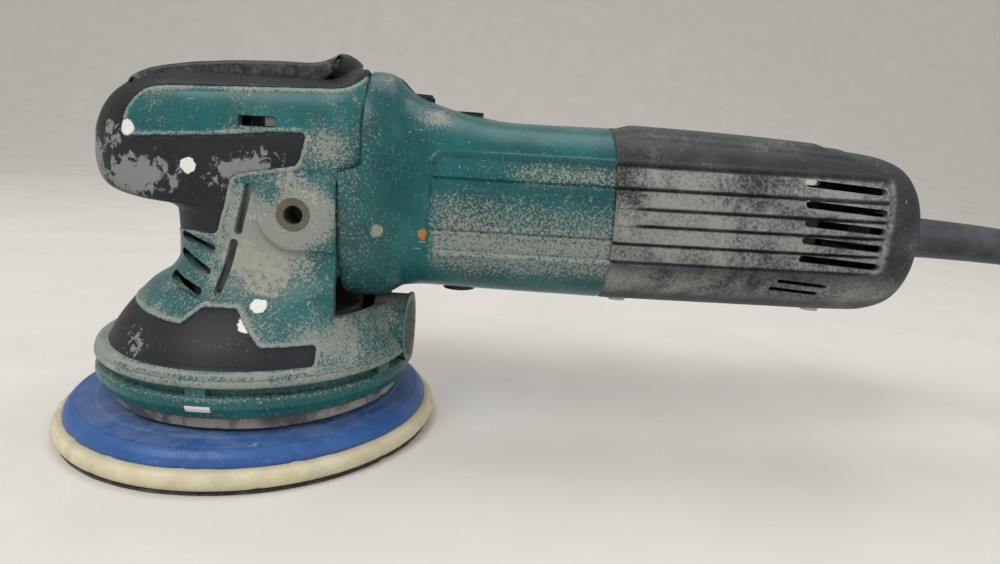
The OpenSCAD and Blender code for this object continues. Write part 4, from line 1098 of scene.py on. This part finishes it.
def build_lever():
    low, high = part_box("paddle_lever")
    outline = rounded_corners([
        [-38.4, 132.6], [-37, 135.2], [-31.6, 137.9], [-26.5, 139.3], [-15, 141.3], [0, 142.7],
        [16, 143.4], [28, 143.4], [33.5, 144.6], [38.6, 147.6], [39.6, 146.6], [37, 142.4],
        [33.6, 138.8], [31, 136.2], [24, 134.8], [0, 133.4], [-24, 132], [-31, 131.4],
        [-32.6, 129.8], [-35, 128.6], [-37.8, 130.2],
    ], 2.6, 7) * MM
    half = (high.y - low.y) / 2 + LEVER_OVERHANG
    lever = rounded_bar("press_lever", outline, half, 1.5 * MM, 1.1 * MM)
    # The underside is hollow between the two side walls
    hollow = [[-30.8, 134.2], [-24.5, 134.8], [0, 136.4], [24, 137.4], [33, 138.7], [45, 138.7], [45, 120],
              [-30.8, 120]]
    inside = half - 3.5 * MM
    carve(lever, prism("tool", np.array(hollow) * MM, -inside, inside))
    pivot = joint_point("lever_press")
    hole = [[pivot.x + 2.1 * MM * math.cos(a), pivot.z + 2.1 * MM * math.sin(a)]
            for a in np.linspace(0, 2 * math.pi, 48, endpoint=False)]
    carve(lever, prism("tool", hole, -40 * MM, 40 * MM))
    x, y, z = coordinates(lever).T / MM
    ends = np.maximum(smoothstep(x, -26, -37), smoothstep(x, 30, 38) * 0.8)
    edges = smoothstep(np.abs(y), 18.5, 21) * 0.25
    paint(lever, np.maximum(ends, edges) + 0.12 * smoothstep(z, 139, 143))
    dress(creased(lever), "lever_plastic", "lever", "paddle_lever")


# ---------- pad ----------

def uneven(seed, size, low_r):
    """Wave for a lathed profile: points outside low_r wander in and out by up to size."""
    rng = np.random.default_rng(seed)
    full = 2 * math.pi
    waves = [(k, rng.uniform(0.4, 1.0) / k ** 0.5, rng.uniform(0, full)) for k in (3, 5, 9, 14, 23, 37, 61)]
    total = sum(part[1] for part in waves)
    nicks = [(rng.uniform(0, full), rng.uniform(0.010, 0.03), rng.uniform(1.5, 3.0)) for k in range(16)]

    def wave(outline, angle):
        shape = outline.copy()
        shift = sum(a * math.sin(k * angle + p) for k, a, p in waves) / total
        for place, width, depth in nicks:
            away = (angle - place + math.pi) % full - math.pi
            shift -= depth * math.exp(-(away / width) ** 2)
        share = smoothstep(outline[:, 0], low_r, low_r + 3 * MM)
        shape[:, 0] += size * shift * share
        return shape
    return wave


def cut_dust_holes(piece, low, high):
    ring = 40 * MM
    for k in range(6):
        angle = math.radians(30 + 60 * k)
        centre = (ring * math.cos(angle), ring * math.sin(angle))
        carve(piece, cylinder("tool", centre, 5 * MM, low, high, 48))
    return piece


def build_pad():
    hub = 11 * MM
    foam_low, foam_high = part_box("pad_foam")
    edge = foam_high.x
    low, high = foam_low.z, foam_high.z
    middle, tall = (low + high) / 2, (high - low) / 2
    bulge = [[edge - 3.4 * MM + 3.3 * MM * math.cos(t), middle + tall * math.sin(t)]
             for t in np.linspace(-math.pi / 2, math.pi / 2, 15)]
    foam = lathe("foam_pad", [[hub, low], *bulge, [hub, high]], (0, 0, 0), 0.3 * MM, 360,
                 uneven(5, 0.10 * MM, 60 * MM))
    cut_dust_holes(foam, low - MM, high + MM)
    x, y, z = coordinates(foam).T
    # Darker within 2.2 mm of the bottom face, and half as much within 0.7 mm of the top face.
    darker_near_faces = smoothstep(z, low + 2.2 * MM, low) + 0.5 * smoothstep(z, high - 0.7 * MM, high)
    paint(foam, darker_near_faces * 0.8)
    dress(creased(foam, 50), "pad_foam", "pad", "pad_foam")

    low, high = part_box("hook_layer")
    edge = high.x - 0.25 * MM
    top = high.z - 0.02 * MM
    profile = [[hub, low.z], [edge, low.z], [edge, top], [hub, top]]
    hook = lathe("hook_face", profile, (0, 0, 0), 0.3 * MM, 480, uneven(11, 0.30 * MM, 68 * MM))
    cut_dust_holes(hook, low.z - MM, high.z + MM)
    paint(hook, np.full(len(hook.data.vertices), 0.3))
    dress(creased(hook), "hook_fabric", "pad", "hook_layer")

    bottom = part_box("pad_plate")[0].z
    profile = [[11, 8.2], [70.6, 8.2], [71, 8.6], [70.7, 9.8], [69.9, 11.4], [68.4, 13.0], [67.2, 13.5],
               [66.3, 13.35], [65.4, 13.55], [60, 14], [59, 14.5], [47, 14.8], [36, 15], [18, 15],
               [16, 19], [4.2, 19], [4.2, 12.5], [11, 12.5]]
    plate = lathe("backing_plate", np.array(profile) * MM, (0, 0, 0), 0.5 * MM, 360,
                  uneven(23, 0.18 * MM, 66.5 * MM))
    cut_dust_holes(plate, bottom - 2 * MM, 20 * MM)
    x, y, z = coordinates(plate).T
    r = np.hypot(x, y)
    haze = smoothstep(r, 67.5 * MM, 65 * MM) * 0.75 + 0.25 * smoothstep(r, 62 * MM, 58 * MM)
    # A thin lighter ring at the step's edge, r 67.3 mm: a painted highlight.
    haze += 0.5 * np.exp(-((r - 67.3 * MM) / (0.5 * MM)) ** 2)
    paint(plate, haze)
    dress(creased(plate), "blue_plate", "pad", "pad_plate")


# ---------- skirt, seal and spout ----------

def build_skirt():
    r = FLANGE_R / MM
    profile = [[54, 20], [57, 20], [59.4, 21.2], [r - 0.5, 24.4], [r, 25.2], [r, 27.6], [r - 0.9, 28.9],
               [r - 4, 29.2], [r - 4, 32], [55, 32], [55, 27.8], [54, 27.8]]
    wander = uneven(31, 0.06 * MM, 57 * MM)
    skirt = lathe("skirt", np.array(profile) * MM, (AXIS_X, 0, 0), 0.5 * MM, 300, wander)
    for angle in (-93.6, -25, 40, 93.6, 150, 205):
        a = math.radians(angle)
        centre = np.array([AXIS_X + (r - 3) * MM * math.cos(a), (r - 3) * MM * math.sin(a)])
        along, out = np.array([-math.sin(a), math.cos(a)]), np.array([math.cos(a), math.sin(a)])
        half, deep = 3.6 * MM, 1.9 * MM
        tab = [centre + along * half * i + out * deep * j for i, j in ((-1, -1), (1, -1), (1, 1), (-1, 1))]
        carve(skirt, prism("tool", rounded_corners(tab, 0.7 * MM), 28 * MM, 32.1 * MM, "z"), "UNION")
    carve(skirt, cylinder_x("tool", SPOUT_R + 0.9 * MM, 45 * MM, 80 * MM, SPOUT_Z))
    z = coordinates(skirt)[:, 2] / MM
    paint(skirt, 0.30 * np.exp(-((z - 28.6) / 0.9) ** 2) + 0.25 * smoothstep(z, 23, 20) + 0.08)
    dress(creased(skirt), "skirt_teal", "machine", "skirt_ring")

    profile = [[50, 16.2], [50.6, 15.7], [56, 15.7], [56.6, 16.2], [56.8, 20], [53.9, 20], [53.9, 24],
               [51.5, 24], [51.5, 20], [50, 18.5]]
    wander = uneven(47, 0.16 * MM, 54 * MM)

    def sagging(outline, angle):
        shape = wander(outline, angle)
        dip = 0.5 + 0.5 * math.sin(5 * angle + 1.3) * math.sin(2 * angle + 0.4)
        shape[:, 1] += 0.45 * MM * dip * smoothstep(outline[:, 1], 17.5 * MM, 15.7 * MM)
        return shape

    seal = lathe("brush_seal", np.array(profile) * MM, (AXIS_X, 0, 0), 0.4 * MM, 300, sagging)
    paint(seal, np.full(len(seal.data.vertices), 0.3))
    dress(creased(seal), "seal_rubber", "machine", "dust_seal")


def build_spout():
    bore, outer = SPOUT_BORE / MM, SPOUT_R / MM
    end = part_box("dust_spout")[1].x / MM
    profile = [[bore, 50], [outer, 50], [outer, end - 2.2], [outer + 0.8, end - 1.2], [outer + 0.7, end],
               [bore + 0.5, end], [bore, end - 0.8]]
    spout = lathe("spout", np.array(profile) * MM, (0, 0, SPOUT_Z), 0.4 * MM, 160, along="x")
    floor = 36.85 * MM
    clear = [[40 * MM, 0], [57.5 * MM, 0], [57.5 * MM, floor], [40 * MM, floor]]
    carve(spout, prism("tool", clear, -30 * MM, 30 * MM))
    mouth = [[61.0 * MM, -30 * MM], [80 * MM, -30 * MM], [80 * MM, 6 * MM], [65.2 * MM, 6 * MM]]
    carve(spout, prism("tool", mouth, 0, 80 * MM, "z"))
    y, z = coordinates(spout).T[1:] / MM
    inside = np.hypot(y, z - SPOUT_Z / MM) < bore + 0.6
    paint(spout, 0.25 + 0.4 * smoothstep(z, 48, 54) + 0.5 * inside)
    dress(creased(spout), "head_teal", "machine", "dust_spout")


build_lever()
build_pad()
build_skirt()
build_spout()


# ---------- the cord ----------

LEAD = [
    (0.314, 0, 0.0874), (0.322, 0, 0.0864), (0.332, 0, 0.083), (0.341, 0, 0.0776), (0.348, 0, 0.0705),
    (0.353, 0, 0.062), (0.3566, 0, 0.0525), (0.360, 0, 0.043), (0.3645, 0, 0.0335), (0.3705, 0, 0.025),
    (0.378, 0, 0.0185), (0.387, 0, 0.014), (0.398, 0, 0.012),
]
TAIL = [
    (0.398, 0, 0.004), (0.410, 0.0005, 0.004), (0.421, 0.003, 0.004), (0.431, 0.007, 0.004),
    (0.441, 0.011, 0.004), (0.452, 0.0136, 0.004), (0.464, 0.014, 0.004),
]
RELIEF = [
    (0.248, 0, 0.0903), (0.262, 0, 0.090), (0.276, 0, 0.0896), (0.290, 0, 0.089), (0.302, 0, 0.0883),
    (0.314, 0, 0.0874),
]
CORD_D = 0.008
COIL_TURNS = 4
TURN_POINTS = 24


def coil_points():
    """Two flat layers of turns: the upper one winds in, the lower one winds out."""
    low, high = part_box("cord_coil")
    centre = (low + high) / 2
    outer = (high.x - low.x) / 2 - CORD_D / 2
    radii = [outer - CORD_D * k for k in range(COIL_TURNS)]
    radii += radii[::-1]
    shift_from = 1 - 1 / 6
    found = []
    for turn, radius in enumerate(radii):
        upper = turn < COIL_TURNS
        following = radii[turn + 1] if turn + 1 < len(radii) else radius
        for k in range(TURN_POINTS):
            share = k / TURN_POINTS
            moved = float(smoothstep(share, shift_from, 1))
            r = radius + (following - radius) * moved
            angle = math.pi / 2 - 2 * math.pi * share
            z = 1.5 * CORD_D if upper else 0.5 * CORD_D
            if turn == COIL_TURNS - 1:
                z -= CORD_D * float(smoothstep(share, 0.75, 1))
            found.append((centre.x + r * math.cos(angle), centre.y + r * math.sin(angle), z))
    return found


def smooth_curve(name, points, radius):
    """Curve that passes smoothly through the points."""
    data = bpy.data.curves.new(name, "CURVE")
    data.dimensions = "3D"
    data.bevel_depth = radius
    data.bevel_resolution = 4
    data.resolution_u = 4
    data.use_fill_caps = True
    spline = data.splines.new("BEZIER")
    spline.bezier_points.add(len(points) - 1)
    for knot, point in zip(spline.bezier_points, points):
        knot.co = point
        knot.handle_left_type = knot.handle_right_type = "AUTO"
    made = bpy.data.objects.new(name, data)
    bpy.context.scene.collection.objects.link(made)
    return made


def tube_along(name, points, radii, sides=48):
    """Round bar along points in the plane y = 0."""
    points = np.asarray(points, float)
    run = np.concatenate([[0], np.cumsum(np.linalg.norm(np.diff(points, axis=0), axis=1))])
    at = np.linspace(0, run[-1], 90)
    line = pchip(run, points, at)
    ahead = np.gradient(line, axis=0)
    ahead /= np.linalg.norm(ahead, axis=1)[:, None]
    turn = np.arange(sides) * 2 * math.pi / sides
    rings = []
    for centre, d, share in zip(line, ahead, at / run[-1]):
        r = radii(share)
        up = np.array([-d[2], 0, d[0]])
        side = np.array([0, 1.0, 0])
        rings.append(centre + r * (np.outer(np.cos(turn), side) + np.outer(np.sin(turn), up)))
    return skin(name, rings)


def build_strain_relief():
    """Tapered sleeve: a bead where it leaves the cover, and a rounded lip at its free end."""
    start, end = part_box("strain_relief")[1].z - RELIEF[0][2], 7.4 * MM

    def radius(share):
        taper = start + (end - start) * share
        bead = 0.5 * MM * math.exp(-((share - 0.12) / 0.02) ** 2)
        tip = (1 - smoothstep(share, 0.955, 1.0) * 0.28)
        return (taper + bead - 0.15 * MM) * tip

    sleeve = tube_along("cord_sleeve", RELIEF, radius)
    return dress(sleeve, "cord_rubber", "machine", "strain_relief")


def build_plug():
    """Round moulded plug lying on the floor, with a grip waist, and two bare pins."""
    low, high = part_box("plug")
    radius = (high.z - low.z) / 2
    centre = np.array([low.x, (low.y + high.y) / 2, low.z + radius])
    body_end = 39.9 * MM
    profile = [[0.2 * MM, 0], [6.8 * MM, 0], [8.5 * MM, 4 * MM], [11.5 * MM, 14 * MM], [11.2 * MM, 20 * MM],
               [11.8 * MM, 27 * MM], [12.9 * MM, 31 * MM], [12.9 * MM, body_end - 1.2 * MM],
               [12.2 * MM, body_end], [0.2 * MM, body_end]]
    body = lathe("plug_body", profile, centre, 0.9 * MM, 96, along="x")
    dress(body, "cord_rubber", "machine", slot="cord_rubber")
    pins = []
    pin_r = 2.4 * MM
    length = high.x - low.x - body_end
    for k, offset in enumerate((-9.5 * MM, 9.5 * MM)):
        tip = [[0.05 * MM, -1 * MM], [pin_r, -1 * MM], [pin_r, length - 1.5 * MM], [pin_r * 0.6, length],
               [0.05 * MM, length]]
        pin = lathe(f"plug_pin_{k + 1}", tip, centre + [body_end, offset, 0], 0.4 * MM, 32, along="x")
        pins.append(dress(pin, "steel", "machine", slot="steel"))
    rise = [(TAIL[-1][0] - 0.0005, 0, 4.2 * MM), (TAIL[-1][0] + 0.004, 0, 5.0 * MM),
            (TAIL[-1][0] + 0.009, 0, 7.0 * MM), (TAIL[-1][0] + 0.0135, 0, 10.5 * MM)]
    neck = tube_along("plug_neck", rise, lambda share: (4.1 + 2.2 * share) * MM, 48)
    neck.data.transform(Matrix.Translation((0, TAIL[-1][1], 0)))
    dress(neck, "cord_rubber", "machine", slot="cord_rubber")
    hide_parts("plug")
    return [body, neck, *pins]


def build_cord():
    route = LEAD[:-1] + coil_points() + TAIL
    cord = smooth_curve("mains_cord", route, CORD_D / 2)
    cord.data.materials.append(MATERIALS["cord_rubber"])
    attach(cord, "machine")
    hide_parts("power_cord", "cord_coil", "cord_tail")
    build_strain_relief()
    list(build_plug())


build_motor_housing()
build_rear_cover()
build_cord()


# ---------- finishing the CAD nodes that stay ----------

for node_name, node_object in NODES.items():
    if not node_object.hide_render:
        node_object.data.materials.clear()
        node_object.data.materials.append(MATERIALS[SLOTS[node_name]])


# ---------- floor and light ----------

def make_floor():
    s = Shade("floor")
    cloud = s.noise(60 * MM, 4)
    tone = s.mix(s.step(cloud, 0.3, 0.7), (0.74, 0.72, 0.69), (0.78, 0.76, 0.73))
    material = s.finish(tone, 0.55, s.bump(s.noise(1.5 * MM, 3), 0.02 * MM))
    size, back, rise = 6.0, 1.1, 1.6
    rings = []
    for t in np.linspace(0, 1, 24):
        rings.append((back + rise * math.sin(t * math.pi / 2), rise * (1 - math.cos(t * math.pi / 2))))
    line = [(-size, 0.0)] + rings + [(back + rise, size)]
    points = [(x, y, z - 0.05 * MM) for y, z in line for x in (-size, size)]
    faces = [[2 * i, 2 * i + 1, 2 * i + 3, 2 * i + 2] for i in range(len(line) - 1)]
    floor = make_object("floor", points, faces, 180)
    floor.data.materials.append(material)


def add_light(name, place, target, size, watts, tint=(1, 1, 1)):
    data = bpy.data.lights.new(name, "AREA")
    data.shape = "RECTANGLE"
    data.size, data.size_y = size
    data.energy = watts
    data.color = tint
    lamp = bpy.data.objects.new(name, data)
    lamp.location = place
    lamp.rotation_mode = "QUATERNION"
    lamp.rotation_quaternion = (Vector(target) - Vector(place)).to_track_quat("-Z", "Y")
    bpy.context.scene.collection.objects.link(lamp)


make_floor()
add_light("key", (-0.55, -0.75, 1.25), (0.08, 0, 0.06), (0.8, 0.6), 10.5, (1.0, 0.985, 0.96))
add_light("fill", (1.1, -0.9, 0.8), (0.1, 0, 0.08), (1.0, 1.0), 4, (0.96, 0.98, 1.0))
add_light("top", (0.15, 0.45, 1.3), (0.1, 0, 0.05), (1.2, 0.8), 5)
world = bpy.data.worlds.new("studio")
world.use_nodes = True
world.node_tree.nodes["Background"].inputs[0].default_value = (0.80, 0.78, 0.75, 1)
world.node_tree.nodes["Background"].inputs[1].default_value = 0.66
bpy.context.scene.world = world
bpy.context.scene.view_settings.view_transform = "Standard"
